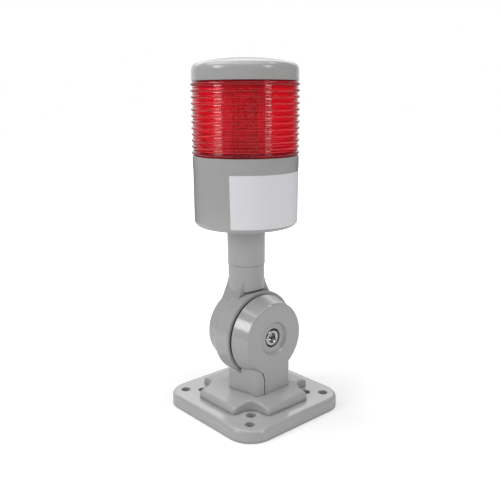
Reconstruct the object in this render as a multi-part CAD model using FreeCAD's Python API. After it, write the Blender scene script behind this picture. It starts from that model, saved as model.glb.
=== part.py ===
import FreeCAD, Part
import math
import os

from FreeCAD import Vector

# Stack light with one red tier on a tilting pivot base. Millimetres, +Z up.
# The origin is the centre of the base plate's underside. The pivot bolt lies
# along X, with its head on the +X side, and the lamp tips towards -Y and +Y.

# Overall and driving sizes
TOTAL_HEIGHT = 180.0
BASE_SIDE = 70.0
PIVOT_HEIGHT = 41.0
TUBE_X = -5.6
RUNNING_GAP = 0.05
FIT_GAP = 0.08
FINE_ROUND = 0.8
BROAD_ROUND = 2.0
ROUND_FLAT_COUNT = 5

# Base plate
PLATE_THICKNESS = 6.5
PLATE_CORNER_RADIUS = 13.0
PLATE_EDGE_RADIUS = 2.1
PLATE_RIM_WALL = 3.2
PLATE_SKIN = 2.8
OUTER_HOLE_INSET = 8.8
INNER_HOLE_INSET = 15.4
MOUNT_HOLE_RADIUS = 2.45
HOLE_BOSS_RADIUS = 4.6
RIB_THICKNESS = 1.6
RIB_OFFSET = 13.0
RIB_RECESS = 0.6

# Pyramid plinth on the plate, scalloped at its corners for the inner screws
PLINTH_MARGIN = 8.5
PLINTH_WALL_TOP = 9.85
PLINTH_SLOPE_DEG = 13.4
PLINTH_TOP_SIDE = 18.0
PLINTH_SKIN = 3.0
SCALLOP_DEPTH = 12.3
SCALLOP_RADIUS = 7.4
SCALLOP_FOOT_RADIUS = 2.4
SCALLOP_FLARE = 3.6
SCALLOP_EDGE_RADIUS = 1.1
PLINTH_EDGE_RADIUS = 2.8

# Post that carries the fixed half of the pivot
POST_FRONT_X = 16.0
POST_BACK_X = -3.0
POST_FRONT_HALF_WIDTH = 10.9
POST_BACK_HALF_WIDTH = 13.9
POST_CORNER_RADIUS = 1.6
SADDLE_GAP = 0.6

# Fixed ear, a cone frustum about the pivot axis
EAR_INNER_X = 5.7
EAR_INNER_RADIUS = 21.1
EAR_FACE_RADIUS = 18.3
EAR_FACE_EDGE_RADIUS = 1.0
SPIGOT_RADIUS = 7.0
SPIGOT_LENGTH = 3.0
FACE_RECESS_RADIUS = 8.6
FACE_RECESS_DEPTH = 1.5
FACE_RECESS_DRAFT = 0.8
HEAD_BORE_RADIUS = 5.0

# Wire channel in the post and its cover
CHANNEL_FRONT_X = 13.0
CHANNEL_BACK_X = 7.5
CHANNEL_INNER_Y = -6.0
CHANNEL_TOP = 29.0
CHANNEL_MOUTH_TOP = 23.5
WINDOW_RADIUS = 2.5
WINDOW_Y = -9.4
WINDOW_DROP = 15.0
COVER_WALL = 1.6
COVER_REBATE_DEPTH = 0.9
COVER_FLANGE_EDGE_Y = -7.2
COVER_SHOULDER_Z = 18.2
COVER_RIM_DEG = 47.0
COVER_BULGE_Y = 1.7
COVER_BULGE_Z = 0.6
COVER_CORNER_RADIUS = 2.6
COVER_GAP = 0.1
COVER_SEAM_WIDTH = 0.5
COVER_TONGUE_DEPTH = 2.4
COVER_TONGUE_FOOT = 17.0

# Tilting arm, the moving half of the pivot
ARM_FACE_X = 5.2
ARM_BAND_BACK_X = -5.0
ARM_BAND_RADIUS = 22.6
ARM_CONE_RADIUS = 21.2
ARM_BACK_X = -16.0
ARM_BACK_RADIUS = 17.8
ARM_BACK_EDGE_RADIUS = 1.6
ARM_HUB_RADIUS = 14.4
ARM_WALL = 2.2
ARM_HOLLOW_BACK_X = -11.0
TUBE_RADIUS = 9.45
TUBE_BORE_RADIUS = 5.8
TUBE_FOOT_DROP = 0.25
TUBE_FOOT_DEG = 17.5
WEB_FRONT_X = 0.5
WEB_TOP_DROP = 7.4
WEB_BEND_DROP = 3.0
WEB_BEND_STEP = 0.8
WEB_BEND_RADIUS = 10.0
WEB_SHOULDER_RADIUS = 21.5
WEB_SHOULDER_TOP_DEG = 56.5
WEB_FOOT_RADIUS = 19.0
WEB_FOOT_DEG = -18.0
WEB_SHOULDER_COUNT = 10

# Friction ring between the two halves
RING_INNER_RADIUS = 7.6
RING_OUTER_RADIUS = 13.4
RING_SEAT_DEPTH = 0.5
RING_SIDE_GAP = 0.3

# Pivot bolt, a socket head cap screw with its washers and lock nut
BOLT_RADIUS = 2.5
BOLT_LENGTH = 25.0
BOLT_HEAD_RADIUS = 4.25
BOLT_HEAD_HEIGHT = 5.0
BOLT_HEAD_FACE_X = 14.4
BOLT_SOCKET_FLATS = 4.0
BOLT_SOCKET_DEPTH = 2.6
WASHER_RADIUS = 4.8
WASHER_THICKNESS = 1.0
SPRING_WASHER_RADIUS = 4.4
SPRING_WASHER_THICKNESS = 1.2
SPRING_WASHER_SPLIT = 0.8
NUT_FLATS = 8.0
NUT_HEIGHT = 5.0
NUT_COLLAR_HEIGHT = 1.3
NUT_POCKET_FLOOR_X = -9.0

# Lamp body, a cup on a neck that sleeves over the arm's spigot
NECK_SHARE = 0.605
NECK_RADIUS = 9.75
NECK_SEAM_EASE = 0.5
NECK_FILLET_RADIUS = 1.4
NECK_SPIGOT_RADIUS = 8.0
BODY_HEIGHT = 35.6
BODY_BOTTOM_RADIUS = 26.3
BODY_TOP_RADIUS = 26.6
BODY_ROUND_RADIUS = 3.0
BODY_WALL = 2.2
BODY_FLOOR = 2.5
BODY_LIP_HEIGHT = 6.2
BODY_LIP_STEP = 0.15
LEDGE_DROP = 5.5
LEDGE_HEIGHT = 2.0
LEDGE_DEPTH = 2.2

# Blank label on the body
LABEL_RISE = 2.1
LABEL_HEIGHT = 25.8
LABEL_START_DEG = -57.7
LABEL_END_DEG = 36.0
LABEL_THICKNESS = 0.15

# Nut and washer that clamp the body on the spigot
NECK_WASHER_RADIUS = 12.5
NECK_WASHER_THICKNESS = 1.0
NECK_NUT_FLATS = 22.0
NECK_NUT_HEIGHT = 4.5
SPIGOT_PROUD = 1.0

# Ribbed lens
LENS_HEIGHT = 35.8
LENS_VALLEY_RADIUS = 26.0
LENS_RIB_HEIGHT = 0.9
LENS_RIB_TIP = 0.7
LENS_RIB_ROOT = 1.7
LENS_RIB_COUNT = 12
LENS_WALL = 2.0
LENS_SKIRT_HEIGHT = 4.0
LENS_SKIRT_WALL = 1.5
LENS_SKIRT_GAP = 0.15
SEAL_THICKNESS = 1.5
SEAL_WIDTH = 1.6

# Cap
CAP_HEIGHT = 11.1
CAP_RADIUS = 26.4
CAP_WALL = 2.2
CAP_SHOULDER_RADIUS = 3.6
CAP_DOME_RISE = 3.3
CAP_DOME_COUNT = 5
CAP_SKIRT_HEIGHT = 4.0
CAP_SKIRT_WALL = 1.3
CAP_SKIRT_GAP = 0.2
CAP_BEAD_HEIGHT = 1.0
CAP_BEAD_STEP = 0.45
CAP_SEAL_WIDTH = 0.9
CAP_SEAL_THICKNESS = 1.0

# Light board and driver board
DRIVER_RADIUS = 19.5
DRIVER_THICKNESS = 1.6
DRIVER_CLEARANCE = 1.5
DRIVER_WIRE_HOLE_RADIUS = 2.6
STANDOFF_COUNT = 3
STANDOFF_CIRCLE_RADIUS = 16.5
STANDOFF_RADIUS = 2.6
BOARD_SCREW_RADIUS = 1.2
BOARD_SCREW_LENGTH = 6.0
BOARD_SCREW_HEAD_RADIUS = 2.2
BOARD_SCREW_HEAD_HEIGHT = 1.5
CARRIER_SIDE = 9.0
CARRIER_WALL = 1.4
CARRIER_FOOT_SIDE = 15.0
CARRIER_FOOT_THICKNESS = 1.6
CARRIER_HEAD_GAP = 4.0
LED_BOARD_WIDTH = 8.4
LED_BOARD_THICKNESS = 1.2
LED_BOARD_START = 2.0
LED_BOARD_STOP = 1.5
LED_COUNT = 6
LED_SIDE = 5.0
LED_THICKNESS = 1.6
LED_WINDOW_SIDE = 3.6
LED_WINDOW_DEPTH = 0.3
CAPACITOR_RADIUS = 3.5
CAPACITOR_HEIGHT = 9.0
TERMINAL_LENGTH = 11.0
TERMINAL_WIDTH = 6.0
TERMINAL_HEIGHT = 7.0
TERMINAL_SCREW_RADIUS = 1.4
RECTIFIER_SIDE = 6.0
RECTIFIER_HEIGHT = 3.0
RESISTOR_COUNT = 4
RESISTOR_RADIUS = 1.1
RESISTOR_LENGTH = 6.0
RESISTOR_PITCH = 2.9
PART_CIRCLE_RADIUS = 13.0
CAPACITOR_ANGLE = 30.0
RESISTOR_ANGLE = 90.0
TERMINAL_ANGLE = 180.0
RECTIFIER_ANGLE = 270.0

# Levels and radii that follow from the sizes above
PLINTH_SIDE = BASE_SIDE - 2 * PLINTH_MARGIN
SCALLOP_START = PLINTH_SIDE / 2 - SCALLOP_DEPTH
OUTER_HOLE_SPACING = BASE_SIDE - 2 * OUTER_HOLE_INSET
INNER_HOLE_SPACING = BASE_SIDE - 2 * INNER_HOLE_INSET
ARM_SOCKET_X = EAR_INNER_X - SPIGOT_LENGTH - 4 * RUNNING_GAP
HEAD_SEAT_X = (BOLT_HEAD_FACE_X - BOLT_HEAD_HEIGHT
               - SPRING_WASHER_THICKNESS - WASHER_THICKNESS)
BOLT_BORE_RADIUS = BOLT_RADIUS + FIT_GAP
SADDLE_RADIUS = ARM_BAND_RADIUS + SADDLE_GAP
WEB_BACK_X = 2 * TUBE_X - WEB_FRONT_X
LENS_TOP_Z = TOTAL_HEIGHT - CAP_HEIGHT
BODY_TOP_Z = LENS_TOP_Z - LENS_HEIGHT
BODY_BOTTOM_Z = BODY_TOP_Z - BODY_HEIGHT
DRUM_TOP_Z = PIVOT_HEIGHT + ARM_BAND_RADIUS
NECK_SEAM_Z = BODY_BOTTOM_Z - NECK_SHARE * (BODY_BOTTOM_Z - DRUM_TOP_Z)
WEB_TOP_RISE = NECK_SEAM_Z - PIVOT_HEIGHT - WEB_TOP_DROP
WEB_BEND_RISE = WEB_TOP_RISE - WEB_BEND_DROP
LABEL_BOTTOM_Z = BODY_BOTTOM_Z + LABEL_RISE
LABEL_TOP_Z = LABEL_BOTTOM_Z + LABEL_HEIGHT
FLOOR_Z = BODY_BOTTOM_Z + BODY_FLOOR
NECK_NUT_Z = FLOOR_Z + NECK_WASHER_THICKNESS
SPIGOT_TOP_Z = NECK_NUT_Z + NECK_NUT_HEIGHT + SPIGOT_PROUD
DRIVER_Z = SPIGOT_TOP_Z + DRIVER_CLEARANCE
DRIVER_TOP_Z = DRIVER_Z + DRIVER_THICKNESS
LENS_BORE_RADIUS = LENS_VALLEY_RADIUS - LENS_WALL
CAP_SKIRT_RADIUS = LENS_BORE_RADIUS - CAP_SKIRT_GAP
CAP_INSIDE_Z = TOTAL_HEIGHT - CAP_WALL
CARRIER_TOP_Z = LENS_TOP_Z - CARRIER_HEAD_GAP

os.makedirs("parts", exist_ok=True)

X_AXIS = Vector(1, 0, 0)
Z_AXIS = Vector(0, 0, 1)


# Drawing helpers

def outline(corners, place):
    """Closed wire of straight runs; a corner given a radius gets a tangent arc."""
    count = len(corners)
    flat = [Vector(c[0], c[1], 0) for c in corners]
    turns = []
    for i, corner in enumerate(corners):
        radius = corner[2] if len(corner) > 2 else 0
        here = flat[i]
        if radius <= 0:
            turns.append((here, None, here))
            continue
        to_last = (flat[i - 1] - here).normalize()
        to_next = (flat[(i + 1) % count] - here).normalize()
        half = to_last.getAngle(to_next) / 2
        reach = radius / math.tan(half)
        bisector = (to_last + to_next).normalize()
        middle = here + bisector * (radius / math.sin(half) - radius)
        turns.append((here + to_last * reach, middle, here + to_next * reach))
    edges = []
    for i, (enter, middle, leave) in enumerate(turns):
        if middle is not None:
            edges.append(Part.Arc(place(enter), place(middle), place(leave)).toShape())
        following = turns[(i + 1) % count][0]
        if (following - leave).Length > 1e-6:
            edges.append(Part.LineSegment(place(leave), place(following)).toShape())
    return Part.Wire(edges)


def plan(z):
    """Places a flat point (x, y) at height z."""
    return lambda p: Vector(p.x, p.y, z)


def side(x):
    """Places a flat point (y, rise over the pivot) in the plane at x."""
    return lambda p: Vector(x, p.x, PIVOT_HEIGHT + p.y)


def eased(corners):
    """Corners with each rounding drawn as a few flats, which keeps turned parts light."""
    count = len(corners)
    points = []
    for i, corner in enumerate(corners):
        radius = corner[2] if len(corner) > 2 else 0
        here = Vector(corner[0], corner[1], 0)
        if radius <= 0:
            points.append((here.x, here.y))
            continue
        to_last = (Vector(*corners[i - 1][:2]) - here).normalize()
        to_next = (Vector(*corners[(i + 1) % count][:2]) - here).normalize()
        half = to_last.getAngle(to_next) / 2
        centre = here + (to_last + to_next).normalize() * (radius / math.sin(half))
        start = here + to_last * (radius / math.tan(half)) - centre
        end = here + to_next * (radius / math.tan(half)) - centre
        flats = 1 if radius < FINE_ROUND else 2 if radius < BROAD_ROUND else ROUND_FLAT_COUNT
        sweep = start.getAngle(end)
        for k in range(flats + 1):
            share = k * sweep / flats
            spoke = start * (math.sin(sweep - share) / math.sin(sweep)) + end * (math.sin(share) / math.sin(sweep))
            points.append((centre.x + spoke.x, centre.y + spoke.y))
    return points


def slab(corners, place, sweep):
    """Outline with rounded corners, extruded along sweep."""
    return Part.Face(outline(corners, place)).extrude(sweep)


def square(half, radius=0):
    """Corners of a square about the origin."""
    return [(-half, -half, radius), (half, -half, radius), (half, half, radius), (-half, half, radius)]


def turned_on_tube(section, angle=360):
    """Solid of revolution about the tube's axis from (radius, z) corners."""
    face = Part.Face(outline(eased(section), lambda p: Vector(TUBE_X + p.x, 0, p.y)))
    return face.revolve(Vector(TUBE_X, 0, 0), Z_AXIS, angle)


def turned_on_pivot(section):
    """Solid of revolution about the pivot axis from (x, radius) corners."""
    face = Part.Face(outline(eased(section), lambda p: Vector(p.x, 0, PIVOT_HEIGHT + p.y)))
    return face.revolve(Vector(0, 0, PIVOT_HEIGHT), X_AXIS, 360)


def ring(inner, outer, z, height):
    """Flat ring about the tube's axis."""
    return turned_on_tube([(inner, z), (outer, z), (outer, z + height), (inner, z + height)])


def pivot_ring(inner, outer, x, length):
    """Flat ring about the pivot axis."""
    return turned_on_pivot([(x, inner), (x + length, inner), (x + length, outer), (x, outer)])


def post_tool(radius, x, y, z, height):
    """Upright cylinder."""
    return Part.makeCylinder(radius, height, Vector(x, y, z), Z_AXIS)


def pivot_rod(radius, x, length):
    """Cylinder on the pivot axis."""
    return Part.makeCylinder(radius, length, Vector(x, 0, PIVOT_HEIGHT), X_AXIS)


def hexagon_on_pivot(flats, x, length):
    """Hexagonal prism on the pivot axis, with a flat side up."""
    corner = flats / math.sqrt(3)
    angles = [math.radians(60 * i) for i in range(6)]
    corners = [(corner * math.cos(a), corner * math.sin(a)) for a in angles]
    return slab(corners, side(x), X_AXIS * length)


def box(x0, x1, y0, y1, z0, z1):
    """Box between two opposite corners."""
    return Part.makeBox(x1 - x0, y1 - y0, z1 - z0, Vector(x0, y0, z0))


def fused(first, others):
    """One clean solid from several that touch or overlap."""
    return first.fuse(others).removeSplitter()


def four_corners(spacing):
    """Centres of a square pattern of holes."""
    half = spacing / 2
    return [(sx * half, sy * half) for sx in (-1, 1) for sy in (-1, 1)]


def about_tube(shape, count, start=0.0):
    """Copies of a shape, evenly turned about the tube's axis."""
    copies = []
    for i in range(count):
        copy = shape.copy()
        copy.rotate(Vector(TUBE_X, 0, 0), Z_AXIS, start + i * 360.0 / count)
        copies.append(copy)
    return copies


def save(node, shape):
    """Writes one node's solid or group of solids."""
    assert shape.isValid(), node
    shape.exportStep("parts/" + node + ".step")


# Base: plate, plinth, post and fixed ear in one moulding

def plinth_height(half):
    """Height of the pyramid's slope at a half width from the centre."""
    return PLINTH_WALL_TOP + (PLINTH_SIDE / 2 - half) * math.tan(math.radians(PLINTH_SLOPE_DEG))


def frustum(half_low, z_low, half_high, z_high):
    """Square frustum about the Z axis, with flat sides."""
    low = [Vector(c[0], c[1], z_low) for c in square(half_low)]
    high = [Vector(c[0], c[1], z_high) for c in square(half_high)]
    loops = [low, high]
    for i in range(4):
        j = (i + 1) % 4
        loops.append([low[i], low[j], high[j], high[i]])
    faces = [Part.Face(Part.makePolygon(loop + loop[:1])) for loop in loops]
    return Part.makeSolid(Part.makeShell(faces))


def scallop_tools(grow, z):
    """Room cut from the plinth's four corners, round inside and at its feet."""
    start = SCALLOP_START - grow
    foot = PLINTH_SIDE / 2 - grow - 0.2
    flare = foot + SCALLOP_FLARE / 3
    low = start - SCALLOP_FLARE
    inner_radius = SCALLOP_RADIUS + grow
    quarter = [(start, start, inner_radius), (foot, start, SCALLOP_FOOT_RADIUS), (flare, low),
               (BASE_SIDE, low), (BASE_SIDE, BASE_SIDE), (low, BASE_SIDE), (low, flare),
               (start, foot, SCALLOP_FOOT_RADIUS)]
    tools = []
    for sx, sy in four_corners(2):
        corners = [(sx * c[0], sy * c[1]) + tuple(c[2:]) for c in quarter]
        tools.append(slab(corners, plan(z), Z_AXIS * TOTAL_HEIGHT))
    return tools


def make_plate():
    half = BASE_SIDE / 2
    plate = slab(square(half, PLATE_CORNER_RADIUS), plan(0), Z_AXIS * PLATE_THICKNESS)
    rim = [e for e in plate.Edges if all(abs(v.Z - PLATE_THICKNESS) < 1e-6 for v in e.Vertexes)]
    return plate.makeFillet(PLATE_EDGE_RADIUS, rim)


def make_plinth():
    half = PLINTH_SIDE / 2
    top_half = PLINTH_TOP_SIDE / 2
    foot = PLATE_THICKNESS - PLATE_SKIN / 2
    wall = slab(square(half), plan(foot), Z_AXIS * (PLINTH_WALL_TOP - foot))
    slope = frustum(half, PLINTH_WALL_TOP, top_half, plinth_height(top_half))
    plinth = fused(wall, [slope])
    shoulders = [e for e in plinth.Edges if all(abs(v.Z - PLINTH_WALL_TOP) < 1e-6 for v in e.Vertexes)]
    plinth = plinth.makeFillet(PLINTH_EDGE_RADIUS, shoulders)
    plinth = plinth.cut(scallop_tools(0, foot - 1))
    arches = []
    for edge in plinth.Edges:
        middle = edge.valueAt((edge.FirstParameter + edge.LastParameter) / 2)
        if edge.Curve.TypeId != "Part::GeomLine" and middle.z > PLINTH_WALL_TOP:
            arches.append(edge)
    return plinth.makeFillet(SCALLOP_EDGE_RADIUS, arches)


def post_corners(grow=0.0, radius=POST_CORNER_RADIUS):
    """Plan of the post: wider at the back, with drafted sides."""
    front = POST_FRONT_HALF_WIDTH + grow
    back = POST_BACK_HALF_WIDTH + grow
    return [(POST_BACK_X, -back, radius), (POST_FRONT_X, -front, radius),
            (POST_FRONT_X, front, radius), (POST_BACK_X, back, radius)]


def saddle_tool():
    """Room for the arm's band over the post."""
    return pivot_rod(SADDLE_RADIUS, -BASE_SIDE, BASE_SIDE + EAR_INNER_X)


def ear_blank(gap=0.0):
    """The ear's cone without its bores, or the room for it."""
    return turned_on_pivot([
        (EAR_INNER_X - gap, 0), (EAR_INNER_X - gap, EAR_INNER_RADIUS + gap),
        (POST_FRONT_X, EAR_FACE_RADIUS + gap), (POST_FRONT_X + gap, EAR_FACE_RADIUS),
        (POST_FRONT_X + gap, 0)])


def make_post():
    foot = PLINTH_WALL_TOP
    post = slab(post_corners(), plan(foot), Z_AXIS * (PIVOT_HEIGHT - foot))
    core = pivot_rod(EAR_FACE_RADIUS - 2 * EAR_FACE_EDGE_RADIUS, EAR_INNER_X, BASE_SIDE)
    return post.cut([saddle_tool(), core])


def make_ear():
    seat = EAR_INNER_X + RING_SEAT_DEPTH
    recess_floor = POST_FRONT_X - FACE_RECESS_DEPTH
    section = [
        (EAR_INNER_X - SPIGOT_LENGTH, BOLT_BORE_RADIUS),
        (EAR_INNER_X - SPIGOT_LENGTH, SPIGOT_RADIUS, 0.4),
        (seat, SPIGOT_RADIUS),
        (seat, RING_OUTER_RADIUS + RING_SIDE_GAP),
        (EAR_INNER_X, RING_OUTER_RADIUS + RING_SIDE_GAP),
        (EAR_INNER_X, EAR_INNER_RADIUS, 0.6),
        (POST_FRONT_X, EAR_FACE_RADIUS, EAR_FACE_EDGE_RADIUS),
        (POST_FRONT_X, FACE_RECESS_RADIUS, 0.6),
        (recess_floor, FACE_RECESS_RADIUS - FACE_RECESS_DRAFT, 0.3),
        (recess_floor, HEAD_BORE_RADIUS),
        (HEAD_SEAT_X, HEAD_BORE_RADIUS),
        (HEAD_SEAT_X, BOLT_BORE_RADIUS),
    ]
    return turned_on_pivot(section)


def make_hollow():
    """Space under the plate and inside the plinth, open to the wall it stands on."""
    rim_half = BASE_SIDE / 2 - PLATE_RIM_WALL
    tray_top = PLATE_THICKNESS - PLATE_SKIN
    tray = slab(square(rim_half, PLATE_CORNER_RADIUS - PLATE_RIM_WALL), plan(-1),
                Z_AXIS * (tray_top + 1))
    half = PLINTH_SIDE / 2 - PLINTH_SKIN
    top_half = PLINTH_TOP_SIDE / 2
    shoulder = PLINTH_WALL_TOP - PLINTH_SKIN
    well = slab(square(half), plan(0), Z_AXIS * shoulder)
    roof = frustum(half, shoulder, top_half, plinth_height(top_half) - PLINTH_SKIN)
    inner = fused(well, [roof])
    inner = inner.cut(scallop_tools(PLINTH_SKIN, tray_top))
    return fused(tray, [inner])


def make_stiffeners():
    """Screw bosses and crossing ribs that fill part of the hollow."""
    half = BASE_SIDE / 2
    tall = PLINTH_WALL_TOP + PLINTH_SIDE
    solids = []
    for spacing in (OUTER_HOLE_SPACING, INNER_HOLE_SPACING):
        for x, y in four_corners(spacing):
            solids.append(post_tool(HOLE_BOSS_RADIUS, x, y, 0, tall))
    for sign in (-1, 1):
        low = sign * RIB_OFFSET - RIB_THICKNESS / 2
        high = sign * RIB_OFFSET + RIB_THICKNESS / 2
        solids.append(box(low, high, -half, half, RIB_RECESS, tall))
        solids.append(box(-half, half, low, high, RIB_RECESS, tall))
    return solids[0].fuse(solids[1:])


def make_wire_channel():
    """Way for the lead from the hollow, up behind the cover and into the arm."""
    start = PLATE_THICKNESS - PLATE_SKIN
    mouth = box(CHANNEL_BACK_X, CHANNEL_FRONT_X, -POST_BACK_HALF_WIDTH - 1, CHANNEL_INNER_Y,
                plinth_height(POST_BACK_HALF_WIDTH) + 1, CHANNEL_MOUTH_TOP)
    drop = box(CHANNEL_BACK_X, CHANNEL_FRONT_X, -POST_FRONT_HALF_WIDTH + 0.5, CHANNEL_INNER_Y,
               start, CHANNEL_TOP)
    window = Part.makeCylinder(WINDOW_RADIUS, CHANNEL_BACK_X - EAR_INNER_X + 2,
                               Vector(EAR_INNER_X - 1, WINDOW_Y, PIVOT_HEIGHT - WINDOW_DROP), X_AXIS)
    return mouth.fuse([drop, window])


def make_base_plate():
    moulding = fused(make_plate(), [make_plinth(), make_post(), make_ear()])
    hollow = make_hollow()
    moulding = moulding.cut(hollow)
    moulding = fused(moulding, [hollow.common(make_stiffeners()).common(box_over_floor())])
    holes = []
    for spacing in (OUTER_HOLE_SPACING, INNER_HOLE_SPACING):
        for x, y in four_corners(spacing):
            holes.append(post_tool(MOUNT_HOLE_RADIUS, x, y, -1, PLINTH_WALL_TOP))
    bolt_room = pivot_rod(BOLT_BORE_RADIUS, 0, POST_FRONT_X)
    return moulding.cut(holes + [make_wire_channel(), bolt_room, make_cover_rebate()])


def box_over_floor():
    """Everything above the wall that the plate stands on."""
    return box(-BASE_SIDE, BASE_SIDE, -BASE_SIDE, BASE_SIDE, 0, TOTAL_HEIGHT)


def flange_side(shift):
    """Everything on the cover's side of its flange's edge, which climbs in a curve to the ear's rim."""
    edge_y = COVER_FLANGE_EDGE_Y + shift
    rim_y = shift - math.sin(math.radians(COVER_RIM_DEG)) * EAR_FACE_RADIUS
    rim_z = PIVOT_HEIGHT - math.cos(math.radians(COVER_RIM_DEG)) * EAR_FACE_RADIUS
    start = Vector(-BASE_SIDE, edge_y, COVER_SHOULDER_Z + shift)
    end = Vector(-BASE_SIDE, rim_y, rim_z + shift)
    bulge = (start + end) / 2 + Vector(0, COVER_BULGE_Y, COVER_BULGE_Z)
    low = Vector(-BASE_SIDE, edge_y, 0)
    far_low = Vector(-BASE_SIDE, -BASE_SIDE, 0)
    far_high = Vector(-BASE_SIDE, -BASE_SIDE, end.z)
    edges = [Part.LineSegment(low, start).toShape(), Part.Arc(start, bulge, end).toShape()]
    for first, last in ((end, far_high), (far_high, far_low), (far_low, low)):
        edges.append(Part.LineSegment(first, last).toShape())
    return Part.Face(Part.Wire(edges)).extrude(X_AXIS * 2 * BASE_SIDE)


def make_cover_rebate():
    """Step in the post's front that takes the cover's flange, with a fine seam round its edge."""
    front = box(POST_FRONT_X - COVER_REBATE_DEPTH, POST_FRONT_X + COVER_GAP,
                -POST_FRONT_HALF_WIDTH - COVER_GAP, 0, plinth_height(POST_FRONT_X), PIVOT_HEIGHT)
    return flange_side(COVER_SEAM_WIDTH).common(front).cut(ear_blank())


def make_wire_cover():
    """Clip-on cover on the post's -Y side, wrapped round its front corner."""
    foot = PLINTH_WALL_TOP
    front_y = -POST_FRONT_HALF_WIDTH - COVER_WALL
    back_y = -POST_BACK_HALF_WIDTH - COVER_WALL
    flange_back_x = POST_FRONT_X - COVER_REBATE_DEPTH + COVER_GAP
    plan_corners = [(POST_BACK_X, back_y, 1.0), (POST_FRONT_X, front_y, COVER_CORNER_RADIUS),
                    (POST_FRONT_X, COVER_FLANGE_EDGE_Y), (POST_BACK_X, COVER_FLANGE_EDGE_Y)]
    cover = slab(plan_corners, plan(foot), Z_AXIS * (PIVOT_HEIGHT - foot))
    cover = cover.common(flange_side(0))
    flange_room = box(flange_back_x, BASE_SIDE, -BASE_SIDE, 0, 0, PIVOT_HEIGHT)
    post = slab(post_corners(COVER_GAP), plan(0), Z_AXIS * PIVOT_HEIGHT).cut(flange_room)
    front_room = box(CHANNEL_FRONT_X, flange_back_x, -POST_FRONT_HALF_WIDTH - COVER_GAP, 0,
                     0, PIVOT_HEIGHT)
    cover = cover.cut([post, front_room, ear_blank(COVER_GAP), saddle_tool(), make_plinth()])
    # A tongue on its back plugs into the wire channel.
    tongue = box(CHANNEL_BACK_X + COVER_GAP, CHANNEL_FRONT_X - COVER_GAP,
                 -POST_FRONT_HALF_WIDTH - COVER_WALL, -POST_FRONT_HALF_WIDTH + COVER_TONGUE_DEPTH,
                 COVER_TONGUE_FOOT, COVER_TONGUE_FOOT + COVER_WALL)
    return fused(cover, [tongue])


# Tilting arm

def make_arm():
    socket = ARM_SOCKET_X
    seat = ARM_FACE_X - RING_SEAT_DEPTH
    section = [
        (socket, 0), (socket, SPIGOT_RADIUS + FIT_GAP),
        (seat, SPIGOT_RADIUS + FIT_GAP), (seat, RING_OUTER_RADIUS + RING_SIDE_GAP),
        (ARM_FACE_X, RING_OUTER_RADIUS + RING_SIDE_GAP),
        (ARM_FACE_X, ARM_BAND_RADIUS, 0.5),
        (ARM_BAND_BACK_X, ARM_BAND_RADIUS, 0.5),
        (ARM_BAND_BACK_X - 0.5, ARM_CONE_RADIUS),
        (ARM_BACK_X, ARM_BACK_RADIUS, ARM_BACK_EDGE_RADIUS),
        (ARM_BACK_X, FACE_RECESS_RADIUS, 0.6),
        (ARM_BACK_X + FACE_RECESS_DEPTH, FACE_RECESS_RADIUS - FACE_RECESS_DRAFT, 0.3),
        (ARM_BACK_X + FACE_RECESS_DEPTH, 0),
    ]
    drum = turned_on_pivot(section)
    tube = post_tool(TUBE_RADIUS, TUBE_X, 0, PIVOT_HEIGHT, NECK_SEAM_Z - PIVOT_HEIGHT).cut(tube_foot_tool())
    spigot = post_tool(NECK_SPIGOT_RADIUS, TUBE_X, 0, PIVOT_HEIGHT, SPIGOT_TOP_Z - PIVOT_HEIGHT)
    arm = fused(drum, [tube, spigot, make_web()]).cut(pivot_rod(SPIGOT_RADIUS + FIT_GAP, socket, BASE_SIDE))
    nut_room = hexagon_on_pivot(NUT_FLATS + 2 * FIT_GAP, ARM_BACK_X - 1, NUT_POCKET_FLOOR_X - ARM_BACK_X + 1)
    bolt_room = pivot_rod(BOLT_BORE_RADIUS, ARM_BACK_X, socket - ARM_BACK_X + 1)
    return arm.cut([make_arm_hollow(), make_tube_bore(), nut_room, bolt_room])


def tube_foot_tool():
    """Room under the tube's front, in front of the shoulders, cut to a plane that rises forwards."""
    reach = 2 * TUBE_RADIUS
    start = DRUM_TOP_Z - TUBE_FOOT_DROP
    rise = reach * math.tan(math.radians(TUBE_FOOT_DEG))
    loop = [Vector(WEB_FRONT_X, -reach, 0), Vector(WEB_FRONT_X, -reach, start),
            Vector(WEB_FRONT_X + reach, -reach, start + rise), Vector(WEB_FRONT_X + reach, -reach, 0)]
    return Part.Face(Part.makePolygon(loop + loop[:1])).extrude(Vector(0, 2 * reach, 0))


def make_web():
    """Shoulders that flare from the tube down on to the drum, both sides alike."""
    tube_half = math.sqrt(TUBE_RADIUS ** 2 - (WEB_FRONT_X - TUBE_X) ** 2)
    corners = [(tube_half, WEB_TOP_RISE), (tube_half + WEB_BEND_STEP, WEB_BEND_RISE, WEB_BEND_RADIUS)]
    # The shoulder keeps its radius at first and then sinks into the drum's cone.
    for i in range(WEB_SHOULDER_COUNT + 1):
        share = i / WEB_SHOULDER_COUNT
        angle = math.radians(WEB_SHOULDER_TOP_DEG + share * (WEB_FOOT_DEG - WEB_SHOULDER_TOP_DEG))
        radius = WEB_SHOULDER_RADIUS + share ** 3 * (WEB_FOOT_RADIUS - WEB_SHOULDER_RADIUS)
        corners.append((radius * math.cos(angle), radius * math.sin(angle)))
    mirrored = [(-c[0],) + tuple(c[1:]) for c in reversed(corners)]
    return slab(corners + mirrored, side(WEB_BACK_X), X_AXIS * (WEB_FRONT_X - WEB_BACK_X))


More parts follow.
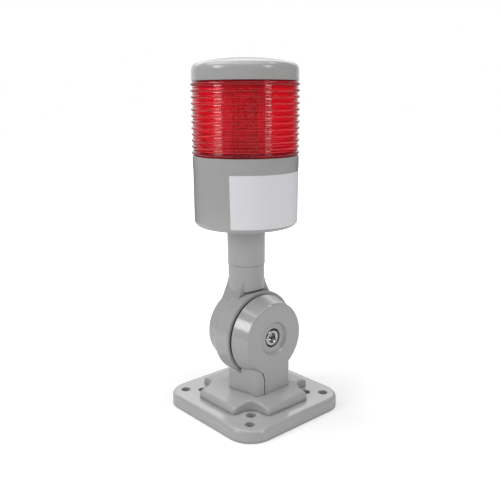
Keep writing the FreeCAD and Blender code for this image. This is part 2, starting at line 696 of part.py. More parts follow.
def make_arm_hollow():
    """Ring-shaped space round the hub that lets the lead through at any tilt."""
    outer = ARM_BAND_RADIUS - ARM_WALL
    cone_outer = ARM_CONE_RADIUS - ARM_WALL
    slope = (ARM_CONE_RADIUS - ARM_BACK_RADIUS) / (ARM_BAND_BACK_X - ARM_BACK_X)
    back_outer = cone_outer - slope * (ARM_BAND_BACK_X - ARM_HOLLOW_BACK_X)
    return turned_on_pivot([
        (ARM_FACE_X + 1, ARM_HUB_RADIUS), (ARM_FACE_X + 1, outer), (ARM_BAND_BACK_X, outer),
        (ARM_BAND_BACK_X, cone_outer), (ARM_HOLLOW_BACK_X, back_outer),
        (ARM_HOLLOW_BACK_X, ARM_HUB_RADIUS)])


def make_tube_bore():
    start = PIVOT_HEIGHT + ARM_HUB_RADIUS
    return post_tool(TUBE_BORE_RADIUS, TUBE_X, 0, start, SPIGOT_TOP_Z - start + 1)


def make_friction_ring():
    start = ARM_FACE_X - RING_SEAT_DEPTH + RUNNING_GAP
    return pivot_ring(RING_INNER_RADIUS, RING_OUTER_RADIUS, start, EAR_INNER_X + RING_SEAT_DEPTH - start)


# Pivot bolt and what it clamps

def make_bolt():
    under_head = BOLT_HEAD_FACE_X - BOLT_HEAD_HEIGHT
    end = under_head - BOLT_LENGTH
    section = [
        (end, 0), (end, BOLT_RADIUS - 0.5), (end + 0.5, BOLT_RADIUS), (under_head, BOLT_RADIUS),
        (under_head, BOLT_HEAD_RADIUS), (BOLT_HEAD_FACE_X, BOLT_HEAD_RADIUS, 0.5), (BOLT_HEAD_FACE_X, 0),
    ]
    socket = hexagon_on_pivot(BOLT_SOCKET_FLATS, BOLT_HEAD_FACE_X - BOLT_SOCKET_DEPTH, BOLT_SOCKET_DEPTH + 1)
    return turned_on_pivot(section).cut(socket)


def make_spring_washer():
    start = HEAD_SEAT_X + RUNNING_GAP + WASHER_THICKNESS
    washer = pivot_ring(BOLT_BORE_RADIUS, SPRING_WASHER_RADIUS, start,
                        SPRING_WASHER_THICKNESS - RUNNING_GAP)
    half = SPRING_WASHER_SPLIT / 2
    split = box(start - 1, start + SPRING_WASHER_THICKNESS + 1, -half, half,
                PIVOT_HEIGHT, PIVOT_HEIGHT + 2 * SPRING_WASHER_RADIUS)
    return washer.cut(split)


def make_bolt_washer():
    return pivot_ring(BOLT_BORE_RADIUS, WASHER_RADIUS, HEAD_SEAT_X + RUNNING_GAP, WASHER_THICKNESS)


def make_nut():
    start = NUT_POCKET_FLOOR_X - NUT_HEIGHT
    hexagon = hexagon_on_pivot(NUT_FLATS, start, NUT_HEIGHT)
    corner = NUT_FLATS / math.sqrt(3)
    dome = turned_on_pivot([
        (start, 0), (start, NUT_FLATS / 2 - 0.6, 0.4), (start + NUT_COLLAR_HEIGHT, NUT_FLATS / 2 - 0.3),
        (start + NUT_COLLAR_HEIGHT + 0.5, corner), (NUT_POCKET_FLOOR_X, corner), (NUT_POCKET_FLOOR_X, 0)])
    return hexagon.common(dome).cut(pivot_rod(BOLT_RADIUS, start - 1, NUT_HEIGHT + 2))


# Lamp body and its clamp on the neck

def body_section(grow=0.0):
    """Outside of the cup from under its bottom to its rim, grown for the label's skin."""
    lip_z = BODY_TOP_Z - BODY_LIP_HEIGHT
    return [
        (0, BODY_BOTTOM_Z - grow),
        (BODY_BOTTOM_RADIUS + grow, BODY_BOTTOM_Z - grow, BODY_ROUND_RADIUS + grow),
        (BODY_TOP_RADIUS - BODY_LIP_STEP + grow, lip_z),
        (BODY_TOP_RADIUS + grow, lip_z + BODY_LIP_STEP),
        (BODY_TOP_RADIUS + grow, BODY_TOP_Z),
        (0, BODY_TOP_Z),
    ]


def make_lamp_body():
    cup = turned_on_tube(body_section())
    neck_top = BODY_BOTTOM_Z + BODY_FLOOR / 2
    neck = turned_on_tube([
        (0, NECK_SEAM_Z), (NECK_RADIUS, NECK_SEAM_Z, NECK_SEAM_EASE),
        (NECK_RADIUS, BODY_BOTTOM_Z, NECK_FILLET_RADIUS),
        (NECK_RADIUS + 3 * NECK_FILLET_RADIUS, BODY_BOTTOM_Z),
        (NECK_RADIUS + 3 * NECK_FILLET_RADIUS, neck_top), (0, neck_top)])
    inner = BODY_BOTTOM_RADIUS - BODY_WALL
    mouth = BODY_TOP_RADIUS - BODY_WALL
    ledge_top = BODY_TOP_Z - LEDGE_DROP
    room = turned_on_tube([
        (0, FLOOR_Z), (inner, FLOOR_Z, BODY_ROUND_RADIUS - BODY_WALL),
        (inner, ledge_top - 2 * LEDGE_HEIGHT), (mouth - LEDGE_DEPTH, ledge_top - LEDGE_HEIGHT),
        (mouth - LEDGE_DEPTH, ledge_top), (mouth, ledge_top), (mouth, BODY_TOP_Z + 1), (0, BODY_TOP_Z + 1)])
    body = fused(cup, [neck]).cut(room)
    standoff = post_tool(STANDOFF_RADIUS, TUBE_X + STANDOFF_CIRCLE_RADIUS, 0,
                         BODY_BOTTOM_Z + BODY_FLOOR / 2, DRIVER_Z - BODY_BOTTOM_Z - BODY_FLOOR / 2)
    pilot = post_tool(BOARD_SCREW_RADIUS, TUBE_X + STANDOFF_CIRCLE_RADIUS, 0,
                      DRIVER_Z - BOARD_SCREW_LENGTH, BOARD_SCREW_LENGTH + 1)
    body = fused(body, about_tube(standoff, STANDOFF_COUNT))
    neck_bore = post_tool(NECK_SPIGOT_RADIUS + FIT_GAP, TUBE_X, 0, NECK_SEAM_Z - 1, FLOOR_Z - NECK_SEAM_Z + 2)
    return body.cut(about_tube(pilot, STANDOFF_COUNT) + [neck_bore])


def make_blank_label():
    skin = turned_on_tube(body_section(LABEL_THICKNESS)).cut(turned_on_tube(body_section()))
    reach = BODY_TOP_RADIUS + 2
    sector = turned_on_tube([(1, LABEL_BOTTOM_Z), (reach, LABEL_BOTTOM_Z), (reach, LABEL_TOP_Z),
                             (1, LABEL_TOP_Z)], LABEL_END_DEG - LABEL_START_DEG)
    sector.rotate(Vector(TUBE_X, 0, 0), Z_AXIS, LABEL_START_DEG)
    return skin.common(sector)


def make_neck_washer():
    return ring(NECK_SPIGOT_RADIUS + FIT_GAP, NECK_WASHER_RADIUS, FLOOR_Z, NECK_WASHER_THICKNESS)


def make_neck_nut():
    corner = NECK_NUT_FLATS / math.sqrt(3)
    corners = [(TUBE_X + corner * math.cos(math.radians(60 * i)), corner * math.sin(math.radians(60 * i)))
               for i in range(6)]
    nut = slab(corners, plan(NECK_NUT_Z), Z_AXIS * NECK_NUT_HEIGHT)
    bore = post_tool(NECK_SPIGOT_RADIUS + FIT_GAP, TUBE_X, 0, NECK_NUT_Z - 1, NECK_NUT_HEIGHT + 2)
    return nut.cut(bore)


# Lens, seals and cap

def make_lens():
    pitch = LENS_HEIGHT / LENS_RIB_COUNT
    skirt_outer = BODY_TOP_RADIUS - BODY_WALL - LENS_SKIRT_GAP
    skirt_inner = skirt_outer - LENS_SKIRT_WALL
    tip = LENS_VALLEY_RADIUS + LENS_RIB_HEIGHT
    section = [(skirt_inner, BODY_TOP_Z - LENS_SKIRT_HEIGHT), (skirt_outer, BODY_TOP_Z - LENS_SKIRT_HEIGHT),
               (skirt_outer, BODY_TOP_Z), (LENS_VALLEY_RADIUS, BODY_TOP_Z)]
    for i in range(LENS_RIB_COUNT):
        middle = BODY_TOP_Z + (i + 0.5) * pitch
        section += [(LENS_VALLEY_RADIUS, middle - LENS_RIB_ROOT / 2), (tip, middle - LENS_RIB_TIP / 2),
                    (tip, middle + LENS_RIB_TIP / 2), (LENS_VALLEY_RADIUS, middle + LENS_RIB_ROOT / 2)]
    groove_inner, groove_outer = cap_seal_radii()
    groove_z = LENS_TOP_Z - CAP_SEAL_THICKNESS
    bead_low = LENS_TOP_Z - CAP_SKIRT_HEIGHT + CAP_BEAD_HEIGHT / 2 - CAP_SKIRT_GAP
    bead_high = bead_low + CAP_BEAD_HEIGHT + 2 * CAP_SKIRT_GAP
    section += [(LENS_VALLEY_RADIUS, LENS_TOP_Z), (groove_outer, LENS_TOP_Z), (groove_outer, groove_z),
                (groove_inner, groove_z), (groove_inner, LENS_TOP_Z), (LENS_BORE_RADIUS, LENS_TOP_Z),
                (LENS_BORE_RADIUS, bead_high), (LENS_BORE_RADIUS + CAP_BEAD_STEP, bead_high),
                (LENS_BORE_RADIUS + CAP_BEAD_STEP, bead_low), (LENS_BORE_RADIUS, bead_low),
                (LENS_BORE_RADIUS, BODY_TOP_Z + LENS_WALL), (skirt_inner, BODY_TOP_Z)]
    return turned_on_tube(section)


def cap_seal_radii():
    """Inner and outer radius of the groove in the lens's top rim."""
    middle = (LENS_BORE_RADIUS + LENS_VALLEY_RADIUS) / 2
    return middle - CAP_SEAL_WIDTH / 2, middle + CAP_SEAL_WIDTH / 2


def make_lens_seal():
    mouth = BODY_TOP_RADIUS - BODY_WALL
    return ring(mouth - SEAL_WIDTH, mouth, BODY_TOP_Z - LEDGE_DROP, SEAL_THICKNESS)


def make_cap_seal():
    inner, outer = cap_seal_radii()
    return ring(inner, outer, LENS_TOP_Z - CAP_SEAL_THICKNESS, CAP_SEAL_THICKNESS)


def cap_dome():
    """Points of the shallow dome from near its rim to the axis, a few cones wide."""
    dome_radius = (CAP_RADIUS ** 2 + CAP_DOME_RISE ** 2) / (2 * CAP_DOME_RISE)
    half_angle = math.asin(CAP_RADIUS / dome_radius)
    points = []
    for i in range(1, CAP_DOME_COUNT + 1):
        angle = half_angle * (1 - i / CAP_DOME_COUNT)
        points.append((dome_radius * math.sin(angle), TOTAL_HEIGHT - dome_radius * (1 - math.cos(angle))))
    return points


def make_cap():
    edge_z = TOTAL_HEIGHT - CAP_DOME_RISE
    inner_radius = CAP_RADIUS - CAP_WALL
    skirt_inner = CAP_SKIRT_RADIUS - CAP_SKIRT_WALL
    low = LENS_TOP_Z - CAP_SKIRT_HEIGHT
    bead = low + CAP_BEAD_HEIGHT / 2
    flange_top = LENS_TOP_Z + CAP_WALL
    outside = [(CAP_RADIUS, LENS_TOP_Z), (CAP_RADIUS, edge_z, CAP_SHOULDER_RADIUS)] + cap_dome()
    inside = [
        (0, CAP_INSIDE_Z), (inner_radius - CAP_SHOULDER_RADIUS / 2, edge_z - CAP_WALL / 2),
        (inner_radius, edge_z - CAP_SHOULDER_RADIUS), (inner_radius, flange_top),
        (skirt_inner, flange_top), (skirt_inner, low), (CAP_SKIRT_RADIUS, low), (CAP_SKIRT_RADIUS, bead),
        (CAP_SKIRT_RADIUS + CAP_BEAD_STEP, bead + CAP_BEAD_HEIGHT / 2),
        (CAP_SKIRT_RADIUS, bead + CAP_BEAD_HEIGHT), (CAP_SKIRT_RADIUS, LENS_TOP_Z)]
    return turned_on_tube(outside + inside)


# Driver board and what is soldered or screwed to it

def make_driver_board():
    board = post_tool(DRIVER_RADIUS, TUBE_X, 0, DRIVER_Z, DRIVER_THICKNESS)
    screw_hole = post_tool(BOARD_SCREW_RADIUS + FIT_GAP, TUBE_X + STANDOFF_CIRCLE_RADIUS, 0,
                           DRIVER_Z - 1, DRIVER_THICKNESS + 2)
    wire_hole = post_tool(DRIVER_WIRE_HOLE_RADIUS, TUBE_X, 0, DRIVER_Z - 1, DRIVER_THICKNESS + 2)
    return board.cut(about_tube(screw_hole, STANDOFF_COUNT) + [wire_hole])


def make_board_screws():
    x = TUBE_X + STANDOFF_CIRCLE_RADIUS
    shank = post_tool(BOARD_SCREW_RADIUS - FIT_GAP / 2, x, 0, DRIVER_TOP_Z - BOARD_SCREW_LENGTH,
                      BOARD_SCREW_LENGTH)
    head = post_tool(BOARD_SCREW_HEAD_RADIUS, x, 0, DRIVER_TOP_Z, BOARD_SCREW_HEAD_HEIGHT)
    return Part.makeCompound(about_tube(fused(shank, [head]), STANDOFF_COUNT))


def on_driver(shape, angle):
    """Turns a component from the +X side of the driver board to its place."""
    shape.rotate(Vector(TUBE_X, 0, 0), Z_AXIS, angle)
    return shape


def make_capacitor():
    can = turned_on_tube([(0, DRIVER_TOP_Z), (CAPACITOR_RADIUS, DRIVER_TOP_Z, 0.4),
                          (CAPACITOR_RADIUS, DRIVER_TOP_Z + CAPACITOR_HEIGHT, 0.4),
                          (0, DRIVER_TOP_Z + CAPACITOR_HEIGHT)])
    can.translate(X_AXIS * PART_CIRCLE_RADIUS)
    return on_driver(can, CAPACITOR_ANGLE)


def make_terminal_block():
    x = TUBE_X + PART_CIRCLE_RADIUS
    block = box(x - TERMINAL_WIDTH / 2, x + TERMINAL_WIDTH / 2, -TERMINAL_LENGTH / 2, TERMINAL_LENGTH / 2,
                DRIVER_TOP_Z, DRIVER_TOP_Z + TERMINAL_HEIGHT)
    wells = [post_tool(TERMINAL_SCREW_RADIUS, x, sign * TERMINAL_LENGTH / 4,
                       DRIVER_TOP_Z + TERMINAL_HEIGHT / 2, TERMINAL_HEIGHT) for sign in (-1, 1)]
    return on_driver(block.cut(wells), TERMINAL_ANGLE)


def make_rectifier():
    x = TUBE_X + PART_CIRCLE_RADIUS
    half = RECTIFIER_SIDE / 2
    body = box(x - half, x + half, -half, half, DRIVER_TOP_Z, DRIVER_TOP_Z + RECTIFIER_HEIGHT)
    return on_driver(body, RECTIFIER_ANGLE)


def make_resistors():
    x = TUBE_X + CARRIER_FOOT_SIDE / 2 + RESISTOR_LENGTH
    bodies = []
    for i in range(RESISTOR_COUNT):
        offset = (i - (RESISTOR_COUNT - 1) / 2) * RESISTOR_PITCH
        body = Part.makeCylinder(RESISTOR_RADIUS, RESISTOR_LENGTH,
                                 Vector(x - RESISTOR_LENGTH, offset, DRIVER_TOP_Z + RESISTOR_RADIUS), X_AXIS)
        bodies.append(on_driver(body, RESISTOR_ANGLE))
    return Part.makeCompound(bodies)


def make_led_carrier():
    foot_z = DRIVER_TOP_Z
    half = CARRIER_SIDE / 2
    foot_half = CARRIER_FOOT_SIDE / 2
    foot = box(TUBE_X - foot_half, TUBE_X + foot_half, -foot_half, foot_half,
               foot_z, foot_z + CARRIER_FOOT_THICKNESS)
    column = box(TUBE_X - half, TUBE_X + half, -half, half, foot_z, CARRIER_TOP_Z)
    bore_half = half - CARRIER_WALL
    bore = box(TUBE_X - bore_half, TUBE_X + bore_half, -bore_half, bore_half,
               foot_z - 1, CARRIER_TOP_Z - CARRIER_WALL)
    return fused(foot, [column]).cut(bore)


def led_board_span():
    """Lowest and highest level of the upright boards."""
    low = DRIVER_TOP_Z + CARRIER_FOOT_THICKNESS + LED_BOARD_START
    return low, CARRIER_TOP_Z - LED_BOARD_STOP


def make_led_board(angle):
    low, high = led_board_span()
    x = TUBE_X + CARRIER_SIDE / 2
    half = LED_BOARD_WIDTH / 2
    return on_driver(box(x, x + LED_BOARD_THICKNESS, -half, half, low, high), angle)


def make_led_row(angle):
    low, high = led_board_span()
    # The lowest emitter sits just above the body's rim, where the lens begins.
    first = BODY_TOP_Z + LED_SIDE / 2
    last = high - LED_SIDE / 2 - LED_BOARD_STOP
    x = TUBE_X + CARRIER_SIDE / 2 + LED_BOARD_THICKNESS
    half = LED_SIDE / 2
    window_half = LED_WINDOW_SIDE / 2
    emitters = []
    for i in range(LED_COUNT):
        z = first + (last - first) * i / (LED_COUNT - 1)
        body = box(x, x + LED_THICKNESS, -half, half, z - half, z + half)
        window = box(x + LED_THICKNESS - LED_WINDOW_DEPTH, x + LED_THICKNESS + 1,
                     -window_half, window_half, z - window_half, z + window_half)
        emitters.append(on_driver(body.cut(window), angle))
    return Part.makeCompound(emitters)


save("base_plate", make_base_plate())
save("wire_cover", make_wire_cover())
save("friction_ring", make_friction_ring())
save("tilt_arm", make_arm())
save("pivot_bolt", make_bolt())
save("spring_washer", make_spring_washer())
save("bolt_washer", make_bolt_washer())
save("lock_nut", make_nut())
save("lamp_body", make_lamp_body())
save("blank_label", make_blank_label())
save("neck_washer", make_neck_washer())
save("neck_nut", make_neck_nut())
save("lens_seal", make_lens_seal())
save("lens", make_lens())
save("cap_seal", make_cap_seal())
save("cap", make_cap())
save("driver_board", make_driver_board())
save("board_screws", make_board_screws())
save("terminal_block", make_terminal_block())
save("capacitor", make_capacitor())
save("rectifier", make_rectifier())
save("resistors", make_resistors())
save("led_carrier", make_led_carrier())
for number in range(4):
    save("led_board_%d" % (number + 1), make_led_board(90 * number))
    save("led_row_%d" % (number + 1), make_led_row(90 * number))
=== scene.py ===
import math

import bmesh
import bpy
from mathutils import Matrix, Vector


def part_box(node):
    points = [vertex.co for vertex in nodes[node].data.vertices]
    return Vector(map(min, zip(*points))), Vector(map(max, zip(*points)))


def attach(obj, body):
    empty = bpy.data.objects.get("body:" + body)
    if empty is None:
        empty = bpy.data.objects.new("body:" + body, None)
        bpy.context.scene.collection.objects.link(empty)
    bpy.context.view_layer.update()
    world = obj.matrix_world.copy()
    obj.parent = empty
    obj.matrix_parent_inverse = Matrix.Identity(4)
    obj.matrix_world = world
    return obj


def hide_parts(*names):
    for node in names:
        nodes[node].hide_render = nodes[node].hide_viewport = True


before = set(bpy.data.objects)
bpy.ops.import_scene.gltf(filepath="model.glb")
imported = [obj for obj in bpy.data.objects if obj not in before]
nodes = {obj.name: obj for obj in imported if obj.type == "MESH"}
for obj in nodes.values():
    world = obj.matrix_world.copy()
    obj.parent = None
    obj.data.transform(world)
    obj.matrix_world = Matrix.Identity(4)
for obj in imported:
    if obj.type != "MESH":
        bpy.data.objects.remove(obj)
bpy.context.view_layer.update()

# One millimetre in metres, and how far apart two radii in millimetres may be and count as the same
MM = 0.001
SAME = 1e-6

# Sizes in millimetres. The driving ones are those of the part's source. The rest is finer detail
# that only this scene shows.
TUBE_X = -5.6
PIVOT_HEIGHT = 41.0

# Lamp body and its neck
NECK_SEAM_Z = 76.99
NECK_SEAM_GAP = 0.15
NECK_SEAM_EASE = 0.25
NECK_RADIUS = 9.75
NECK_BORE = 8.08
NECK_FILLET = 1.4
BODY_BOTTOM_Z = 97.5
BODY_FLOOR_Z = 100.0
BODY_FLOOR_ROUND = 0.8
BODY_BOTTOM_RADIUS = 26.3
BODY_BOTTOM_ROUND = 3.0
BODY_LIP_Z = 126.9
BODY_LIP_STEP = 0.15
BODY_LIP_EASE = 0.1
BODY_TOP_Z = 133.1
BODY_TOP_RADIUS = 26.6
BODY_TOP_EASE = 0.3
BODY_WALL = 2.2
LEDGE_DROP = 5.5
LEDGE_DEPTH = 2.2
LEDGE_HEIGHT = 2.0
LEDGE_SLOPE = 2.0

# Label, a little aslant at its start, its lower edge on the body's rounded bottom
LABEL_BOTTOM_Z = 99.6
LABEL_TOP_Z = 125.4
LABEL_START_DEG = -57.9
LABEL_SLANT_DEG = 0.9
LABEL_END_DEG = 36.0
LABEL_THICKNESS = 0.15
LABEL_ROUND_Z = 100.4
LABEL_TUCK = 0.03
LABEL_COLUMNS = 120
LABEL_ROWS = 26

# Lens: thin ribs outside with slightly swollen valleys between them, flutes inside
LENS_TOP_Z = 168.9
LENS_VALLEY = 26.0
LENS_BORE = 24.0
LENS_BORE_RISE = 2.0
LENS_RIBS = 12
RIB_HEIGHT = 0.9
RIB_CREST = 0.4
RIB_FOOT_BELOW = 0.8
RIB_FOOT_ABOVE = 0.9
RIB_CREST_ROUND = 0.4
RIB_FOOT_ROUND = 0.2
VALLEY_SWELL = 0.15
VALLEY_MIDDLE = 1.54
VALLEY_ROUND = 1.3
LENS_FLUTES = 148
FLUTE_DEPTH = 0.3
SKIRT_GAP = 0.15
SKIRT_WALL = 1.5
SKIRT_HEIGHT = 4.0

# Cap: shallow dome with a rounded shoulder, hollow below
CAP_TOP_Z = 180.0
CAP_RADIUS = 26.4
CAP_FOOT_EASE = 0.25
CAP_SHOULDER = 3.6
CAP_DOME_RISE = 3.3
CAP_WALL = 2.2
CAP_SIDE_WALL = 2.4
CAP_HOLLOW_BEND = 18.0
CAP_SKIRT_RADIUS = 23.8
CAP_SKIRT_WALL = 1.3
CAP_SKIRT_HEIGHT = 4.0
CAP_SKIRT_TAPER = 0.1

# Pivot bolt
BOLT_RADIUS = 2.5
BOLT_END_X = -15.6
BOLT_END_EASE = 0.4
BOLT_END_RADIUS = 1.95
BOLT_HEAD_FACE_X = 14.4
BOLT_HEAD_HEIGHT = 5.0
BOLT_HEAD_RADIUS = 4.25
BOLT_HEAD_DRAFT = 0.02
BOLT_HEAD_FOOT_EASE = 0.15
BOLT_HEAD_ROUND = 0.55
BOLT_HEAD_ROUND_DROP = 0.9
# Radius and depth behind the head's face, from the head's rounded edge to the socket's middle
SOCKET_PROFILE = ((2.75, 0.0), (2.6, 0.05), (2.31, 0.3), (2.31, 2.5), (1.9, 2.6), (0.0, 3.3))
KNURL_DEPTH = 0.16
KNURL_FOOT = 0.2
KNURL_STOP = 0.6
KNURL_STEP = 4
THREAD_START_X = -7.0
THREAD_PITCH = 0.8
THREAD_DEPTH = 0.42
THREAD_STEPS = 90

# Gel windows of the light emitters, six on each of the four boards
BOARD_COUNT = 4
LED_COUNT = 6
LED_FACE = 7.3
LED_SUNK = 0.05
LED_HALF_SIDE = 2.5
# Radius and rise over the emitter's face, from the foot of a window to its crown
WINDOW_PROFILE = ((1.75, -0.25), (1.7, 0.0), (1.25, 0.16), (0.65, 0.25))
WINDOW_SEGMENTS = 20

# How finely curves are drawn
TURN_SEGMENTS = 192
LENS_ARC_STEPS = 7
CAP_ARC_STEPS = 5
CAP_SHOULDER_STEPS = 12
CAP_DOME_STEPS = 16
BODY_ARC_STEPS = 8
BOLT_ARC_STEPS = 5
MERGE_DISTANCE = 0.0005
CREASE_DEG = 32.0


# Drawing helpers

def rounded(corners, steps):
    """Points of an open outline; a corner given a radius becomes a run of points on its arc."""
    points = []
    for i, corner in enumerate(corners):
        here = Vector(corner[:2])
        if len(corner) < 3:
            points.append(here)
            continue
        radius = corner[2]
        to_last = (Vector(corners[i - 1][:2]) - here).normalized()
        to_next = (Vector(corners[i + 1][:2]) - here).normalized()
        half = to_last.angle(to_next) / 2
        centre = here + (to_last + to_next).normalized() * (radius / math.sin(half))
        start = here + to_last * (radius / math.tan(half))
        end = here + to_next * (radius / math.tan(half))
        sweep = (start - centre).angle_signed(end - centre)
        for k in range(steps + 1):
            turn = Matrix.Rotation(-sweep * k / steps, 2)
            points.append(centre + turn @ (start - centre))
    return points


def arc(centre, radius, start, end, steps):
    """Points of an arc about a centre, between two angles that count from straight outward."""
    x, z = centre
    points = []
    for k in range(steps + 1):
        angle = start + (end - start) * k / steps
        points.append(Vector((x + radius * math.cos(angle), z + radius * math.sin(angle))))
    return points


def on_tube(radius, angle, along):
    """A point about the tube's axis."""
    return (TUBE_X + radius * math.cos(angle), radius * math.sin(angle), along)


def on_pivot(radius, angle, along):
    """A point about the pivot bolt's axis."""
    return (along, radius * math.cos(angle), PIVOT_HEIGHT + radius * math.sin(angle))


def turned(bm, outline, segments=TURN_SEGMENTS, closed=True, shift=None, place=on_tube):
    """Adds a turned surface from (radius, height) points; shift moves a point in or out by angle."""
    rings = []
    for point in outline:
        if point.x < SAME:
            rings.append([bm.verts.new(place(0, 0, point.y))])
            continue
        ring = []
        for k in range(segments):
            angle = 2 * math.pi * k / segments
            radius = point.x + (shift(point, angle, k) if shift else 0.0)
            ring.append(bm.verts.new(place(radius, angle, point.y)))
        rings.append(ring)
    pairs = list(zip(rings, rings[1:]))
    if closed:
        pairs.append((rings[-1], rings[0]))
    for low, high in pairs:
        for k in range(segments):
            following = (k + 1) % segments
            corners = [low[k % len(low)], low[following % len(low)],
                       high[following % len(high)], high[k % len(high)]]
            distinct = list(dict.fromkeys(corners))
            if len(distinct) > 2:
                bm.faces.new(distinct)


def add_object(name, data):
    """Puts a new object with the given mesh, light or camera into the scene."""
    added = bpy.data.objects.new(name, data)
    bpy.context.scene.collection.objects.link(added)
    return added


def finished(name, bm, material, body="lamp", stands_for=()):
    """Turns a bmesh in millimetres into a piece with smooth faces and crisp edges."""
    bmesh.ops.remove_doubles(bm, verts=bm.verts, dist=MERGE_DISTANCE)
    bmesh.ops.recalc_face_normals(bm, faces=bm.faces)
    for face in bm.faces:
        face.smooth = True
    for edge in bm.edges:
        if len(edge.link_faces) == 2:
            edge.smooth = edge.calc_face_angle() < math.radians(CREASE_DEG)
    bmesh.ops.scale(bm, vec=(MM, MM, MM), verts=bm.verts)
    mesh = bpy.data.meshes.new(name)
    bm.to_mesh(mesh)
    bm.free()
    piece = add_object(name, mesh)
    mesh.materials.append(material)
    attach(piece, body)
    if stands_for:
        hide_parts(*stands_for)


# Shader helpers

def put(tree, kind, inputs=None, **options):
    """Adds a node; each input gets a plain value or a link from another node's output."""
    node = tree.nodes.new("ShaderNode" + kind)
    for option, value in options.items():
        setattr(node, option, value)
    for socket, value in (inputs or {}).items():
        if isinstance(value, bpy.types.NodeSocket):
            tree.links.new(value, node.inputs[socket])
        else:
            node.inputs[socket].default_value = value
    return node


def put_group(tree, group, **inputs):
    """Places a shared node group; underscores stand for spaces in the names of its inputs."""
    spaced = {socket.replace("_", " "): value for socket, value in inputs.items()}
    return put(tree, "Group", spaced, node_tree=group).outputs


def maths(tree, operation, *terms):
    """Adds a maths node and returns its output."""
    return put(tree, "Math", dict(enumerate(terms)), operation=operation).outputs[0]


def ramp(tree, value, start, end, low=0.0, high=1.0):
    """Goes from low to high while value goes from start to end."""
    limits = {"From Min": start, "From Max": end, "To Min": low, "To Max": high}
    return put(tree, "MapRange", {"Value": value, **limits}).outputs["Result"]


def dot(tree, first, second):
    """How far two directions agree, one for the same and minus one for opposite ones."""
    return put(tree, "VectorMath", {0: first, 1: second}, operation="DOT_PRODUCT").outputs["Value"]


def scaled(tree, vector, factor):
    """A vector or a colour times a number."""
    return put(tree, "VectorMath", {0: vector, "Scale": factor}, operation="SCALE").outputs[0]


def blend(tree, share, first, second):
    """The first colour, with a share of the second in its place."""
    return put(tree, "Mix", {"Factor": share, 6: first, 7: second}, data_type="RGBA").outputs[2]


def relief(tree, height, strength, depth, **others):
    """A normal that shows a height, with its depth in millimetres."""
    inputs = {"Height": height, "Strength": strength, "Distance": depth * MM, **others}
    return put(tree, "Bump", inputs).outputs[0]


def millimetres(tree):
    """Places on the piece, in millimetres."""
    return scaled(tree, put(tree, "TexCoord").outputs["Object"], 1 / MM)


def noise(tree, where, scale, **inputs):
    """Soft noise about one half."""
    return put(tree, "TexNoise", {"Vector": where, "Scale": scale, **inputs}).outputs["Fac"]


def new_group(name, inputs, outputs):
    """An empty node group with named sockets; returns it with its own ins and outs."""
    tree = bpy.data.node_groups.new(name, "ShaderNodeTree")
    for socket, (kind, value) in inputs.items():
        made = tree.interface.new_socket(socket, in_out="INPUT", socket_type="NodeSocket" + kind)
        made.default_value = value
    for socket, kind in outputs.items():
        tree.interface.new_socket(socket, in_out="OUTPUT", socket_type="NodeSocket" + kind)
    ins = tree.nodes.new("NodeGroupInput").outputs
    outs = tree.nodes.new("NodeGroupOutput").inputs
    return tree, ins, outs


# Shared effects

DRIFT_SCALE = 0.07
SPECK_SHARE = 0.35
STREAK_TURNS = ((0.3, 0.5, 0.2), (1.1, -0.4, 1.4))
STREAK_SCALE = (0.08, 1.6, 1.6)


def make_grain_group():
    """Fine grain left by the mould, with slow drifts of tone and gloss."""
    tree, ins, outs = new_group(
        "moulded_grain",
        {"Colour": ("Color", (0.5, 0.5, 0.5, 1)), "Tone": ("Float", 0.03), "Roughness": ("Float", 0.3),
         "Gloss Drift": ("Float", 0.05), "Grain Size": ("Float", 0.25)},
        {"Colour": "Color", "Roughness": "Float", "Height": "Float"})
    where = millimetres(tree)
    grain = noise(tree, where, maths(tree, "DIVIDE", 1.0, ins["Grain Size"]), Detail=2.0)
    drift = maths(tree, "SUBTRACT", noise(tree, where, DRIFT_SCALE, Detail=3.0), 0.5)
    speck = maths(tree, "MULTIPLY", maths(tree, "SUBTRACT", grain, 0.5), SPECK_SHARE)
    change = maths(tree, "MULTIPLY", maths(tree, "ADD", drift, speck), ins["Tone"])
    colour = scaled(tree, ins["Colour"], maths(tree, "ADD", 1.0, change))
    gloss = maths(tree, "MULTIPLY_ADD", drift, ins["Gloss Drift"], ins["Roughness"])
    tree.links.new(colour, outs["Colour"])
    tree.links.new(gloss, outs["Roughness"])
    tree.links.new(grain, outs["Height"])
    return tree


def make_seam_shade_group():
    """Painted shade: a darker tone, from ambient occlusion, where two faces meet in a corner or a seam,
    and a mask of where.
    """
    tree, ins, outs = new_group(
        "seam_painted_shade",
        {"Colour": ("Color", (0.5, 0.5, 0.5, 1)), "Dust": ("Color", (0.2, 0.2, 0.2, 1)),
         "Amount": ("Float", 0.4), "Reach": ("Float", 1.5)},
        {"Colour": "Color", "Mask": "Float"})
    reach = maths(tree, "MULTIPLY", ins["Reach"], MM)
    shade = put(tree, "AmbientOcclusion", {"Distance": reach}, samples=8).outputs["AO"]
    mask = maths(tree, "MULTIPLY", ramp(tree, shade, start=0.88, end=0.4), ins["Amount"])
    tree.links.new(blend(tree, mask, ins["Colour"], ins["Dust"]), outs["Colour"])
    tree.links.new(mask, outs["Mask"])
    return tree


def make_edge_group():
    """Softened edges: a normal that rolls over each edge and a mask of where it does."""
    tree, ins, outs = new_group(
        "soft_edge", {"Radius": ("Float", 0.4)}, {"Normal": "Vector", "Mask": "Float"})
    width = maths(tree, "MULTIPLY", ins["Radius"], MM)
    rolled = put(tree, "Bevel", {"Radius": width}, samples=6).outputs["Normal"]
    likeness = dot(tree, rolled, put(tree, "NewGeometry").outputs["Normal"])
    tree.links.new(rolled, outs["Normal"])
    tree.links.new(ramp(tree, likeness, start=0.99, end=0.8), outs["Mask"])
    return tree


